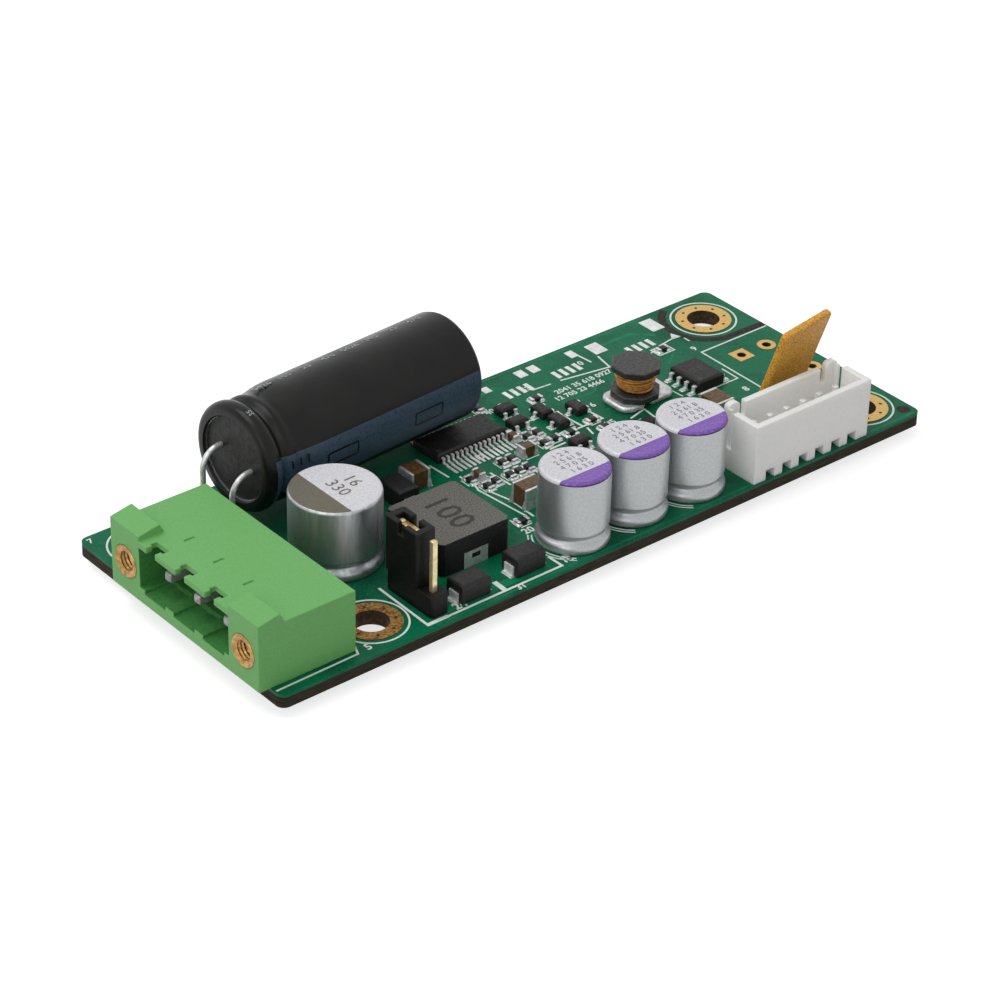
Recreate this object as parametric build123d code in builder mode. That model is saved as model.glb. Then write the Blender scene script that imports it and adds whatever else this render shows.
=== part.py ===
from build123d import *
import os
from math import cos, pi, radians, sin, sqrt

os.makedirs("parts", exist_ok=True)

# All sizes are in mm. The pieces are laid out on the board: x runs along its long front edge,
# y to its back edge, z up from its underside. They are saved about the middle of the whole.

# Circuit board and its mounting holes
BOARD_LENGTH = 90.0
BOARD_WIDTH = 36.0
BOARD_THICKNESS = 1.6
BOARD_CORNER_RADIUS = 1.0
HOLE_INSET = 5.0
HOLE_DIAMETER = 3.9
FRONT_LEFT_HOLE_X = 15.0
RING_DIAMETER = 6.7
PLATING = 0.08
PAD_THICKNESS = 0.06
TOP = BOARD_THICKNESS

# Leads through the board and their solder
LEAD_STUB = 1.3
LEAD_HOLE_CLEARANCE = 0.15
SOLDER_WIDTH = 0.55
SOLDER_TIP = 0.15
SOLDER_HEIGHT = 0.9

# Green input socket
SOCKET_OVERHANG = 1.4
SOCKET_DEPTH = 12.0
SOCKET_WIDTH = 25.6
SOCKET_RING_GAP = 0.25
SOCKET_HEIGHT = 7.3
SOCKET_FLANGE = 5.1
SOCKET_EAR_FRONT = 0.6
SOCKET_EAR_PEAK = 1.1
SOCKET_EAR_DEPTH = 2.7
SOCKET_FLOOR = 1.8
SOCKET_ROOF = 0.75
SOCKET_CAVITY_DEPTH = 8.6
INPUT_PIN_COUNT = 3
INPUT_PIN_PITCH = 5.08
INPUT_PIN_SIZE = 1.0
INPUT_PIN_HEIGHT = 3.7
INPUT_PIN_RECESS = 1.5
INPUT_PIN_DROP = 10.3
INPUT_PIN_POINT = 0.25
KEY_MOUTH = 1.5
KEY_WIDTH = 2.2
KEY_DEPTH = 0.8
KEY_OFFSET = 0.5
TICK_LENGTH = 1.3
TICK_WIDTH = 0.3
TICK_DEPTH = 0.25
TICK_SETBACK = 4.5
SCALLOP_WIDTH = 3.6
SCALLOP_LENGTH = 3.4
SCALLOP_DEPTH = 0.5
INSERT_DIAMETER = 3.7
INSERT_BORE = 2.2
INSERT_LENGTH = 6.0
INSERT_SPACING = 20.32
INSERT_RIM = 0.15

# White output socket, its middle measured from the board's right end
OUTPUT_INSET = 17.35
OUTPUT_START_Y = 0.15
OUTPUT_LENGTH = 17.4
OUTPUT_DEPTH = 5.75
OUTPUT_HEIGHT = 7.2
OUTPUT_WALL = 0.8
OUTPUT_FLOOR = 2.2
OUTPUT_PIN_COUNT = 6
OUTPUT_PIN_PITCH = 2.5
OUTPUT_PIN_SIZE = 0.64
OUTPUT_PIN_SETBACK = 3.1
OUTPUT_PIN_TOP = 5.8
OUTPUT_NOTCH_WIDTH = 1.3
OUTPUT_NOTCH_HEIGHT = 1.2
OUTPUT_NOTCH_DEPTH = 2.2
OUTPUT_SLOT_WIDTH = 0.6
OUTPUT_SLOT_SETBACK = 3.9
OUTPUT_SLOT_FLOOR = 2.6
OUTPUT_POST_INSET = 0.4
OUTPUT_POST_WIDTH = 1.7
OUTPUT_POST_RISE = 0.45
OUTPUT_POST_ROUND = 0.6
OUTPUT_GAP_WIDTH = 0.9
OUTPUT_GAP_DEPTH = 1.8

# Upright capacitors
CAN_WALL = 0.3
CAN_RIM_HEIGHT = 0.95
CAN_GROOVE_HEIGHT = 0.5
CAN_GROOVE_DEPTH = 0.4
CAN_SLOPE = 0.35
CAN_EDGE = 0.35
CAN_FOOT_EDGE = 0.12
CAN_NECK_WALL = 0.35
BUNG_RECESS = 0.3
BUNG_TOP = 2.4
ROLL_CLEARANCE = 0.15
LEAD_DIAMETER = 0.6
INPUT_CAN_X = 19.45
INPUT_CAN_Y = 16.8
INPUT_CAN_DIAMETER = 10.3
INPUT_CAN_HEIGHT = 8.6
INPUT_LEAD_PITCH = 5.0
OUTPUT_CAN_PLACES = [(41.7, 4.6), (50.2, 4.9), (58.4, 4.7)]
OUTPUT_CAN_DIAMETER = 8.1
OUTPUT_CAN_HEIGHT = 8.9
OUTPUT_LEAD_PITCH = 3.5

# Lying bulk capacitor: its axis runs from the bung end, behind the socket, turned a little in plan
BULK_DIAMETER = 12.5
BULK_LENGTH = 30.3
BULK_TURN = 4.0
BULK_SOCKET_GAP = 4.82
BULK_NEAR_Y = 29.09
BULK_HEIGHT = 7.6
BULK_SLEEVE = 0.2
BULK_SLEEVE_LIP = 1.3
BULK_CAN_WALL = 0.4
BULK_RIM = 1.7
BULK_GROOVE = 0.7
BULK_GROOVE_DEPTH = 0.75
BULK_BUNG_TOP = 4.2
BULK_LEAD_DIAMETER = 0.65
BULK_LEAD_PITCH = 5.0
BULK_LEAD_TILT = 14.0
BULK_LEAD_REACH = 2.3
BULK_LEAD_BEND = 2.2

# Jumper
JUMPER_X = 21.2
JUMPER_FRONT_PIN_Y = 2.7
JUMPER_PIN_COUNT = 3
JUMPER_PITCH = 2.54
JUMPER_PIN_SIZE = 0.64
JUMPER_PIN_RISE = 6.0
JUMPER_BASE_WIDTH = 2.4
JUMPER_BASE_HEIGHT = 2.5
JUMPER_BASE_CHAMFER = 0.35
SHUNT_LENGTH = 5.4
SHUNT_WIDTH = 2.6
SHUNT_HEIGHT = 6.5
SHUNT_WAIST = 1.0
SHUNT_SADDLE = 1.3
SHUNT_CORNER = 0.45
SHUNT_WELL_WIDTH = 1.24
CONTACT_THICKNESS = 0.2
CONTACT_WIDTH = 0.8
CONTACT_DROP = 3.6

# Moulded choke
CHOKE_X = 30.2
CHOKE_Y = 11.45
CHOKE_LENGTH = 9.2
CHOKE_WIDTH = 9.5
CHOKE_HEIGHT = 4.0
CHOKE_EDGE = 0.4
CHOKE_TERMINAL_WIDTH = 3.2
CHOKE_TERMINAL_HEIGHT = 1.9
CHOKE_TERMINAL_FOOT = 1.6
CHOKE_TERMINAL_THICKNESS = 0.2
CHOKE_COIL_OUTER = 3.6
CHOKE_COIL_INNER = 2.0
CHOKE_COIL_HEIGHT = 1.8

# Drum choke
DRUM_X = 66.05
DRUM_Y = 22.0
DRUM_WIDTH = 5.5
DRUM_SIDES = 8
DRUM_HEIGHT = 4.0
DRUM_FLANGE = 0.8
DRUM_POST_DIAMETER = 2.6
DRUM_WINDING_DIAMETER = 5.3
DRUM_WINDING_FOOT = 4.1
DRUM_TERMINAL_THICKNESS = 0.8
DRUM_TERMINAL_DEPTH = 4.8
DRUM_TERMINAL_LEFT = 3.5
DRUM_TERMINAL_RIGHT = 4.4
DRUM_TERMINAL_GAP = 0.8
DRUM_TERMINAL_ROUND = 1.4

# Leaning fuse, measured from the board's right end
FUSE_INSET = 12.55
FUSE_Y = 10.9
FUSE_RAISE = 1.0
FUSE_WIDTH = 8.4
FUSE_HEIGHT = 11.9
FUSE_THICKNESS = 0.9
FUSE_CORNER = 0.5
FUSE_LEAN = 17.5
FUSE_TURN = 9.0
FUSE_LEAD_PITCH = 5.08
FUSE_LEAD_DIAMETER = 0.55
FUSE_LEAD_BEND = 0.4

# Chips with leads on two sides
CONTROLLER_X = 44.3
CONTROLLER_Y = 26.8
CONTROLLER_LENGTH = 9.7
CONTROLLER_WIDTH = 4.4
CONTROLLER_HEIGHT = 1.1
CONTROLLER_LEAD_COUNT = 14
CONTROLLER_PITCH = 0.65
CONTROLLER_SPAN = 6.4
CONTROLLER_LEAD_WIDTH = 0.26
CONTROLLER_PAD_SIZE = (0.34, 1.7)
REGULATOR_X = 74.5
REGULATOR_Y = 20.75
REGULATOR_LENGTH = 4.9
REGULATOR_WIDTH = 3.9
REGULATOR_HEIGHT = 1.45
REGULATOR_LEAD_COUNT = 4
REGULATOR_PITCH = 1.27
REGULATOR_SPAN = 6.0
REGULATOR_LEAD_WIDTH = 0.42
CHIP_STANDOFF = 0.1
CHIP_BEVEL = 0.25
GULL_THICKNESS = 0.18
GULL_FOOT = 0.6

# Moulded diodes, as centre x, centre y and turn in degrees
DIODE_PLACES = [(26.0, 2.8, 0), (33.7, 3.15, 0), (31.6, 21.6, 90)]
DIODE_LENGTH = 3.8
DIODE_WIDTH = 2.65
DIODE_HEIGHT = 2.2
DIODE_TERMINAL_WIDTH = 1.4
DIODE_TERMINAL_REACH = 0.45
DIODE_TERMINAL_HEIGHT = 1.2
DIODE_TERMINAL_THICKNESS = 0.2

# Small transistors, as centre x, centre y, turn in degrees
TRANSISTOR_PLACES = [(52.4, 28.6, 0), (51.6, 25.6, 0), (55.4, 25.8, 90), (55.5, 23.0, 90),
                     (59.0, 24.0, 90), (54.5, 18.2, 0), (62.8, 16.4, 0)]
TRANSISTOR_LENGTH = 2.3
TRANSISTOR_WIDTH = 1.5
TRANSISTOR_HEIGHT = 1.0
TRANSISTOR_SPAN = 2.8
TRANSISTOR_PITCH = 1.5
TRANSISTOR_LEAD_WIDTH = 0.4
TRANSISTOR_FOOT = 0.3

# Ceramic capacitors, as centre x, centre y, length, width, height and turn in degrees
CERAMIC_PLACES = [(42.6, 12.7, 2.5, 3.1, 2.4, 90), (48.7, 20.4, 2.0, 1.25, 1.2, 0),
                  (34.9, 23.0, 2.6, 2.4, 2.2, 0), (72.2, 15.0, 3.2, 2.5, 1.5, 90),
                  (41.4, 19.9, 1.6, 0.8, 0.8, 90), (49.4, 23.7, 1.6, 0.8, 0.8, 90)]
# Chip resistors, as centre x, centre y and turn in degrees
RESISTOR_PLACES = [(40.1, 19.7, 90), (40.8, 17.6, 90), (42.2, 17.9, 90), (44.2, 17.9, 90),
                   (45.5, 17.9, 90), (46.8, 17.9, 90), (45.2, 20.4, 90), (46.5, 20.4, 90),
                   (50.9, 22.9, 90), (52.3, 22.9, 90), (51.5, 20.7, 90), (53.0, 20.9, 0),
                   (55.3, 20.7, 0), (59.0, 21.3, 0), (59.2, 19.2, 0), (39.2, 9.9, 0),
                   (50.4, 31.0, 90), (57.0, 28.7, 0), (76.1, 28.4, 0)]
RESISTOR_LENGTH = 1.6
RESISTOR_WIDTH = 0.8
RESISTOR_HEIGHT = 0.45
CHIP_END = 0.35

# Bare pads of a connector that is not fitted, as inset from the board's right end and y
FOOTPRINT_SQUARE_PAD = (7.35, 21.9)
FOOTPRINT_ROUND_PADS = [(3.35, 21.9), (2.65, 15.0)]
FOOTPRINT_PAD_SIZE = 2.25
FOOTPRINT_HOLE = 1.1
# Bare tinned pads, as x, y, length, width
TINNED_PADS = [(79.1, 33.6, 1.8, 2.7), (70.2, 33.4, 1.8, 2.3), (67.0, 34.1, 1.1, 1.5),
               (61.3, 34.2, 1.2, 1.5), (59.4, 34.2, 1.2, 1.5), (53.9, 33.8, 1.0, 1.2)]
FINGER_GROUPS = [(56.7, 31.4), (64.1, 31.5), (74.6, 30.6)]
FINGER_COUNT = 4
FINGER_PITCH = 1.05
FINGER_SIZE = (0.55, 1.6)


def ground_box(length, width, height):
    """Add a box that stands on the place where it is called."""
    return Box(length, width, height, align=(Align.CENTER, Align.CENTER, Align.MIN))


def row(count, pitch):
    """Offsets of a row of equal steps about its middle."""
    return [(index - (count - 1) / 2) * pitch for index in range(count)]


def turned(x, y, angle, z=0.0):
    """A place on the board, turned about the vertical."""
    return Location((x, y, z), (0, 0, angle))


def half_diagonal(side):
    """Reach of a square pin's corners from its middle."""
    return side * sqrt(2) / 2


# Where the leads pass through the board, as x, y and the radius or half diagonal of the lead
rear_ring_y = BOARD_WIDTH - HOLE_INSET - RING_DIAMETER / 2
socket_start_y = rear_ring_y - SOCKET_RING_GAP - SOCKET_WIDTH
socket_middle_y = socket_start_y + SOCKET_WIDTH / 2
socket_middle_x = SOCKET_DEPTH / 2 - SOCKET_OVERHANG
input_pin_ys = [socket_middle_y + step for step in row(INPUT_PIN_COUNT, INPUT_PIN_PITCH)]
input_drop_x = INPUT_PIN_DROP - SOCKET_OVERHANG
output_centre_x = BOARD_LENGTH - OUTPUT_INSET
output_pin_xs = [output_centre_x + step for step in row(OUTPUT_PIN_COUNT, OUTPUT_PIN_PITCH)]
output_pin_y = OUTPUT_START_Y + OUTPUT_PIN_SETBACK
output_middle_y = OUTPUT_START_Y + OUTPUT_DEPTH / 2
jumper_pin_ys = [JUMPER_FRONT_PIN_Y + index * JUMPER_PITCH for index in range(JUMPER_PIN_COUNT)]
jumper_middle_y = sum(jumper_pin_ys) / JUMPER_PIN_COUNT
shunt_y = (jumper_pin_ys[-1] + jumper_pin_ys[-2]) / 2

bulk_direction = Vector(cos(radians(BULK_TURN)), sin(radians(BULK_TURN)), 0)
bulk_side = Vector(-sin(radians(BULK_TURN)), cos(radians(BULK_TURN)), 0)
bulk_near = Vector(SOCKET_DEPTH - SOCKET_OVERHANG + BULK_SOCKET_GAP, BULK_NEAR_Y, TOP + BULK_HEIGHT)
bulk_far = bulk_near + bulk_direction * BULK_LENGTH
bulk_place = Plane(origin=bulk_near, x_dir=bulk_side, z_dir=bulk_direction).location
bulk_lead_row = bulk_side * cos(radians(BULK_LEAD_TILT)) + Vector(0, 0, sin(radians(BULK_LEAD_TILT)))
bulk_lead_starts = [bulk_near + bulk_lead_row * step for step in row(2, BULK_LEAD_PITCH)]
bulk_lead_feet = [start - bulk_direction * BULK_LEAD_REACH for start in bulk_lead_starts]

fuse_base = turned(BOARD_LENGTH - FUSE_INSET, FUSE_Y, FUSE_TURN, TOP + FUSE_RAISE)
fuse_place = fuse_base * Rotation(FUSE_LEAN, 0, 0)
fuse_starts = [fuse_place * Location((step, 0, 0)) for step in row(2, FUSE_LEAD_PITCH)]
fuse_knees = [start * Location((0, 0, -FUSE_LEAD_BEND)) for start in fuse_starts]

lead_radius = LEAD_DIAMETER / 2
upright_leads = [(INPUT_CAN_X, INPUT_CAN_Y + step) for step in row(2, INPUT_LEAD_PITCH)]
for can_x, can_y in OUTPUT_CAN_PLACES:
    upright_leads += [(can_x, can_y + step) for step in row(2, OUTPUT_LEAD_PITCH)]

lead_holes = [(x, y, lead_radius) for x, y in upright_leads]
lead_holes += [(foot.X, foot.Y, BULK_LEAD_DIAMETER / 2) for foot in bulk_lead_feet]
lead_holes += [(knee.position.X, knee.position.Y, FUSE_LEAD_DIAMETER / 2) for knee in fuse_knees]
square_holes = [(input_drop_x, y, INPUT_PIN_SIZE) for y in input_pin_ys]
square_holes += [(x, output_pin_y, OUTPUT_PIN_SIZE) for x in output_pin_xs]
square_holes += [(JUMPER_X, y, JUMPER_PIN_SIZE) for y in jumper_pin_ys]

square_pad = (BOARD_LENGTH - FOOTPRINT_SQUARE_PAD[0], FOOTPRINT_SQUARE_PAD[1])
round_pads = [(BOARD_LENGTH - inset, y) for inset, y in FOOTPRINT_ROUND_PADS]
mount_holes = [(HOLE_INSET, BOARD_WIDTH - HOLE_INSET), (FRONT_LEFT_HOLE_X, HOLE_INSET),
               (BOARD_LENGTH - HOLE_INSET, HOLE_INSET),
               (BOARD_LENGTH - HOLE_INSET, BOARD_WIDTH - HOLE_INSET)]

# The whole reaches from the rims of the thread inserts to the board's end, and from the board's
# front edge to the back of the bulk capacitor, which overhangs the back edge
bulk_back = (bulk_far.Y + BULK_DIAMETER / 2 * cos(radians(BULK_TURN))
             - (CAN_EDGE - BULK_SLEEVE) * sin(radians(BULK_TURN)))
whole_back = max(bulk_back, BOARD_WIDTH)
to_origin = Location(((SOCKET_OVERHANG + INSERT_RIM - BOARD_LENGTH) / 2, -whole_back / 2, LEAD_STUB))


def save(shape, name):
    """Label a piece and write it about the middle of the whole."""
    shape = shape.moved(to_origin)
    shape.label = name
    export_step(shape, f"parts/{name}.step")
    return shape


# Circuit board
with BuildPart() as circuit_board:
    with Locations((BOARD_LENGTH / 2, BOARD_WIDTH / 2, 0)):
        ground_box(BOARD_LENGTH, BOARD_WIDTH, BOARD_THICKNESS)
    fillet(circuit_board.edges().filter_by(Axis.Z), BOARD_CORNER_RADIUS)
    with Locations(*[(x, y, TOP / 2) for x, y in mount_holes]):
        Cylinder(HOLE_DIAMETER / 2 + PLATING, TOP, mode=Mode.SUBTRACT)
    for x, y, radius in lead_holes:
        with Locations((x, y, TOP / 2)):
            Cylinder(radius + LEAD_HOLE_CLEARANCE, TOP, mode=Mode.SUBTRACT)
    for x, y, size in square_holes:
        with Locations((x, y, TOP / 2)):
            Cylinder(half_diagonal(size) + LEAD_HOLE_CLEARANCE, TOP, mode=Mode.SUBTRACT)
    with Locations(*[(x, y, TOP / 2) for x, y in [square_pad] + round_pads]):
        Cylinder(FOOTPRINT_HOLE / 2, TOP, mode=Mode.SUBTRACT)

# Plated ring of each mounting hole: a sleeve with a flange above and below
with BuildPart() as mounting_rings:
    for x, y in mount_holes:
        with Locations((x, y, TOP / 2)):
            Cylinder(HOLE_DIAMETER / 2 + PLATING, TOP)
        with Locations((x, y, TOP + PLATING / 2), (x, y, -PLATING / 2)):
            Cylinder(RING_DIAMETER / 2, PLATING)
        with Locations((x, y, TOP / 2)):
            Cylinder(HOLE_DIAMETER / 2, TOP + 2 * PLATING, mode=Mode.SUBTRACT)

# Pads of the connector that is not fitted
with BuildPart() as footprint_pads:
    with Locations((*square_pad, TOP)):
        ground_box(FOOTPRINT_PAD_SIZE, FOOTPRINT_PAD_SIZE, PAD_THICKNESS)
    for x, y in round_pads:
        with Locations((x, y, TOP + PAD_THICKNESS / 2)):
            Cylinder(FOOTPRINT_PAD_SIZE / 2, PAD_THICKNESS)
    for x, y in [square_pad] + round_pads:
        with Locations((x, y, TOP + PAD_THICKNESS / 2)):
            Cylinder(FOOTPRINT_HOLE / 2, PAD_THICKNESS, mode=Mode.SUBTRACT)

# Bare tinned pads, the rows of four narrow ones, and the strips in front of the controller's leads
controller_steps = row(CONTROLLER_LEAD_COUNT, CONTROLLER_PITCH)
controller_pad_y = CONTROLLER_Y - (CONTROLLER_SPAN + CONTROLLER_PAD_SIZE[1]) / 2
with BuildPart() as tinned_pads:
    for x, y, length, width in TINNED_PADS:
        with Locations((x, y, TOP)):
            ground_box(length, width, PAD_THICKNESS)
    for x, y in FINGER_GROUPS:
        with Locations(*[(x + step, y, TOP) for step in row(FINGER_COUNT, FINGER_PITCH)]):
            ground_box(*FINGER_SIZE, PAD_THICKNESS)
    with Locations(*[(CONTROLLER_X + step, controller_pad_y, TOP) for step in controller_steps]):
        ground_box(*CONTROLLER_PAD_SIZE, PAD_THICKNESS)

# Solder cones under the board, each round its lead
with BuildPart() as solder_joints:
    for x, y, radius in lead_holes:
        with Locations(Location((x, y, -SOLDER_HEIGHT / 2), (180, 0, 0))):
            Cone(radius + SOLDER_WIDTH, radius + SOLDER_TIP, SOLDER_HEIGHT)
    for x, y, size in square_holes:
        reach = half_diagonal(size)
        with Locations(Location((x, y, -SOLDER_HEIGHT / 2), (180, 0, 0))):
            Cone(reach + SOLDER_WIDTH, reach + SOLDER_TIP, SOLDER_HEIGHT)
    for x, y, radius in lead_holes:
        with Locations((x, y, -SOLDER_HEIGHT / 2)):
            Cylinder(radius, SOLDER_HEIGHT, mode=Mode.SUBTRACT)
    for x, y, size in square_holes:
        with Locations((x, y, -SOLDER_HEIGHT / 2)):
            Box(size, size, SOLDER_HEIGHT, mode=Mode.SUBTRACT)

# Input pins: each comes forward in the socket and drops through the board
with BuildPart() as input_pins:
    tip = INPUT_PIN_RECESS - SOCKET_OVERHANG
    for y in input_pin_ys:
        reach = input_drop_x + INPUT_PIN_SIZE / 2 - tip
        with Locations((tip + reach / 2, y, TOP + INPUT_PIN_HEIGHT)):
            Box(reach, INPUT_PIN_SIZE, INPUT_PIN_SIZE)
        with Locations((input_drop_x, y, -LEAD_STUB)):
            ground_box(INPUT_PIN_SIZE, INPUT_PIN_SIZE, TOP + INPUT_PIN_HEIGHT + LEAD_STUB)
    chamfer(input_pins.faces().filter_by(Axis.X).group_by(Axis.X)[0].edges(), INPUT_PIN_POINT)

# Brass thread inserts in the two flanges
insert_ys = [socket_middle_y + step for step in row(2, INSERT_SPACING)]
with BuildPart() as input_inserts:
    for y in insert_ys:
        middle = INSERT_LENGTH / 2 - SOCKET_OVERHANG
        with Locations(Location((middle - INSERT_RIM / 2, y, TOP + INPUT_PIN_HEIGHT), (0, 90, 0))):
            Cylinder(INSERT_DIAMETER / 2, INSERT_LENGTH + INSERT_RIM)
            Cylinder(INSERT_BORE / 2, INSERT_LENGTH + INSERT_RIM, mode=Mode.SUBTRACT)

# Input socket housing
cavity_width = SOCKET_WIDTH - 2 * SOCKET_FLANGE
with BuildPart() as input_socket:
    with Locations((socket_middle_x, socket_middle_y, TOP)):
        ground_box(SOCKET_DEPTH, SOCKET_WIDTH, SOCKET_HEIGHT)
    with BuildSketch(Plane.XZ.offset(-socket_start_y)):
        with BuildLine():
            Polyline((-SOCKET_OVERHANG, TOP + SOCKET_HEIGHT),
                     (-SOCKET_OVERHANG, TOP + SOCKET_HEIGHT + SOCKET_EAR_FRONT),
                     (SOCKET_EAR_DEPTH - SOCKET_OVERHANG, TOP + SOCKET_HEIGHT + SOCKET_EAR_PEAK),
                     (SOCKET_EAR_DEPTH - SOCKET_OVERHANG + SOCKET_EAR_PEAK / 2, TOP + SOCKET_HEIGHT),
                     close=True)
        make_face()
    extrude(amount=-SOCKET_WIDTH)
    with Locations((SOCKET_CAVITY_DEPTH / 2 - SOCKET_OVERHANG, socket_middle_y, TOP + SOCKET_FLOOR)):
        Box(SOCKET_CAVITY_DEPTH, cavity_width, SOCKET_HEIGHT - SOCKET_FLOOR - SOCKET_ROOF,
            mode=Mode.SUBTRACT, align=(Align.CENTER, Align.CENTER, Align.MIN))
    with Locations((socket_middle_x, socket_middle_y, TOP + SOCKET_HEIGHT)):
        Box(SOCKET_DEPTH, cavity_width, SOCKET_EAR_PEAK, mode=Mode.SUBTRACT,
            align=(Align.CENTER, Align.CENTER, Align.MIN))
    # Keying slots in the roof's front edge, narrow at the mouth
    for y in input_pin_ys:
        with Locations((KEY_DEPTH / 2 - SOCKET_OVERHANG, y + KEY_OFFSET, TOP + SOCKET_HEIGHT - SOCKET_ROOF)):
            Box(KEY_DEPTH, KEY_MOUTH, SOCKET_ROOF, mode=Mode.SUBTRACT,
                align=(Align.CENTER, Align.CENTER, Align.MIN))
        with Locations((3 * KEY_DEPTH / 2 - SOCKET_OVERHANG, y + KEY_OFFSET,
                        TOP + SOCKET_HEIGHT - SOCKET_ROOF)):
            Box(KEY_DEPTH, KEY_WIDTH, SOCKET_ROOF, mode=Mode.SUBTRACT,
                align=(Align.CENTER, Align.CENTER, Align.MIN))
        with Locations((TICK_SETBACK - SOCKET_OVERHANG, y, TOP + SOCKET_HEIGHT)):
            Box(TICK_LENGTH, TICK_WIDTH, 2 * TICK_DEPTH, mode=Mode.SUBTRACT)
        with Locations((SCALLOP_LENGTH / 2 - SOCKET_OVERHANG, y, TOP + SOCKET_FLOOR)):
            Box(SCALLOP_LENGTH, SCALLOP_WIDTH, 2 * SCALLOP_DEPTH, mode=Mode.SUBTRACT)
    # Holes that the inserts and the pins fill
    for y in insert_ys:
        with Locations(Location((INSERT_LENGTH / 2 - SOCKET_OVERHANG, y, TOP + INPUT_PIN_HEIGHT),
                                (0, 90, 0))):
            Cylinder(INSERT_DIAMETER / 2, INSERT_LENGTH, mode=Mode.SUBTRACT)
    add(input_pins.part, mode=Mode.SUBTRACT)

# Output pins
with BuildPart() as output_pins:
    with Locations(*[(x, output_pin_y, -LEAD_STUB) for x in output_pin_xs]):
        ground_box(OUTPUT_PIN_SIZE, OUTPUT_PIN_SIZE, LEAD_STUB + TOP + OUTPUT_PIN_TOP)

# Output socket housing
output_back_y = OUTPUT_START_Y + OUTPUT_DEPTH
with BuildPart() as output_socket:
    with Locations((output_centre_x, output_middle_y, TOP)):
        ground_box(OUTPUT_LENGTH, OUTPUT_DEPTH, OUTPUT_HEIGHT)
    # Posts near the corners rise above the back wall
    post_step = OUTPUT_LENGTH / 2 - OUTPUT_POST_INSET - OUTPUT_POST_WIDTH / 2
    with Locations(*[(output_centre_x + side * post_step, output_back_y - OUTPUT_WALL / 2,
                      TOP + OUTPUT_HEIGHT) for side in (-1, 1)]):
        ground_box(OUTPUT_POST_WIDTH, OUTPUT_WALL, OUTPUT_POST_RISE)
    with Locations((output_centre_x, output_middle_y, TOP + OUTPUT_FLOOR)):
        Box(OUTPUT_LENGTH - 2 * OUTPUT_WALL, OUTPUT_DEPTH - 2 * OUTPUT_WALL,
            OUTPUT_HEIGHT - OUTPUT_FLOOR, mode=Mode.SUBTRACT,
            align=(Align.CENTER, Align.CENTER, Align.MIN))
    # Slots in the two side walls, in front of the posts, and the open corners behind them
    slot_y = OUTPUT_START_Y + OUTPUT_SLOT_SETBACK
    corner_depth = OUTPUT_DEPTH - OUTPUT_SLOT_SETBACK
    for side in (-1, 1):
        wall_x = output_centre_x + side * (OUTPUT_LENGTH - OUTPUT_WALL) / 2
        corner_x = output_centre_x + side * (OUTPUT_LENGTH - OUTPUT_POST_INSET) / 2
        with Locations((wall_x, slot_y + OUTPUT_SLOT_WIDTH / 2, TOP + OUTPUT_SLOT_FLOOR)):
            Box(OUTPUT_WALL, OUTPUT_SLOT_WIDTH, OUTPUT_HEIGHT, mode=Mode.SUBTRACT,
                align=(Align.CENTER, Align.CENTER, Align.MIN))
        with Locations((corner_x, slot_y + corner_depth / 2, TOP + OUTPUT_SLOT_FLOOR)):
            Box(OUTPUT_POST_INSET, corner_depth, OUTPUT_HEIGHT, mode=Mode.SUBTRACT,
                align=(Align.CENTER, Align.CENTER, Align.MIN))
    # Gaps in the back wall beside the posts
    gap_step = post_step - (OUTPUT_POST_WIDTH + OUTPUT_GAP_WIDTH) / 2
    with Locations(*[(output_centre_x + side * gap_step, output_back_y - OUTPUT_WALL / 2,
                      TOP + OUTPUT_HEIGHT) for side in (-1, 1)]):
        Box(OUTPUT_GAP_WIDTH, OUTPUT_WALL, 2 * OUTPUT_GAP_DEPTH, mode=Mode.SUBTRACT)
    fillet(output_socket.edges().filter_by(Axis.Y).group_by(Axis.Z)[-1], OUTPUT_POST_ROUND)
    # Notches along the foot of the front wall
    with Locations(*[(x, OUTPUT_START_Y, TOP) for x in output_pin_xs]):
        Box(OUTPUT_NOTCH_WIDTH, OUTPUT_NOTCH_DEPTH, OUTPUT_NOTCH_HEIGHT, mode=Mode.SUBTRACT,
            align=(Align.CENTER, Align.MIN, Align.MIN))
    add(output_pins.part, mode=Mode.SUBTRACT)


def can_shape(radius, length, rim, groove, depth, start=0.0):
    """A closed can's outer form about the z axis, with a groove above its rim."""
    with BuildPart() as shape:
        with BuildSketch(Plane.XZ):
            with BuildLine():
                Polyline((0, start), (radius - CAN_FOOT_EDGE, start), (radius, start + CAN_FOOT_EDGE),
                         (radius, rim), (radius - depth, rim + CAN_SLOPE),
                         (radius - depth, rim + CAN_SLOPE + groove),
                         (radius, rim + 2 * CAN_SLOPE + groove), (radius, length - CAN_EDGE),
                         (radius - CAN_EDGE, length), (0, length), close=True)
            make_face()
        revolve(axis=Axis.Z)
    return shape.part


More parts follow.
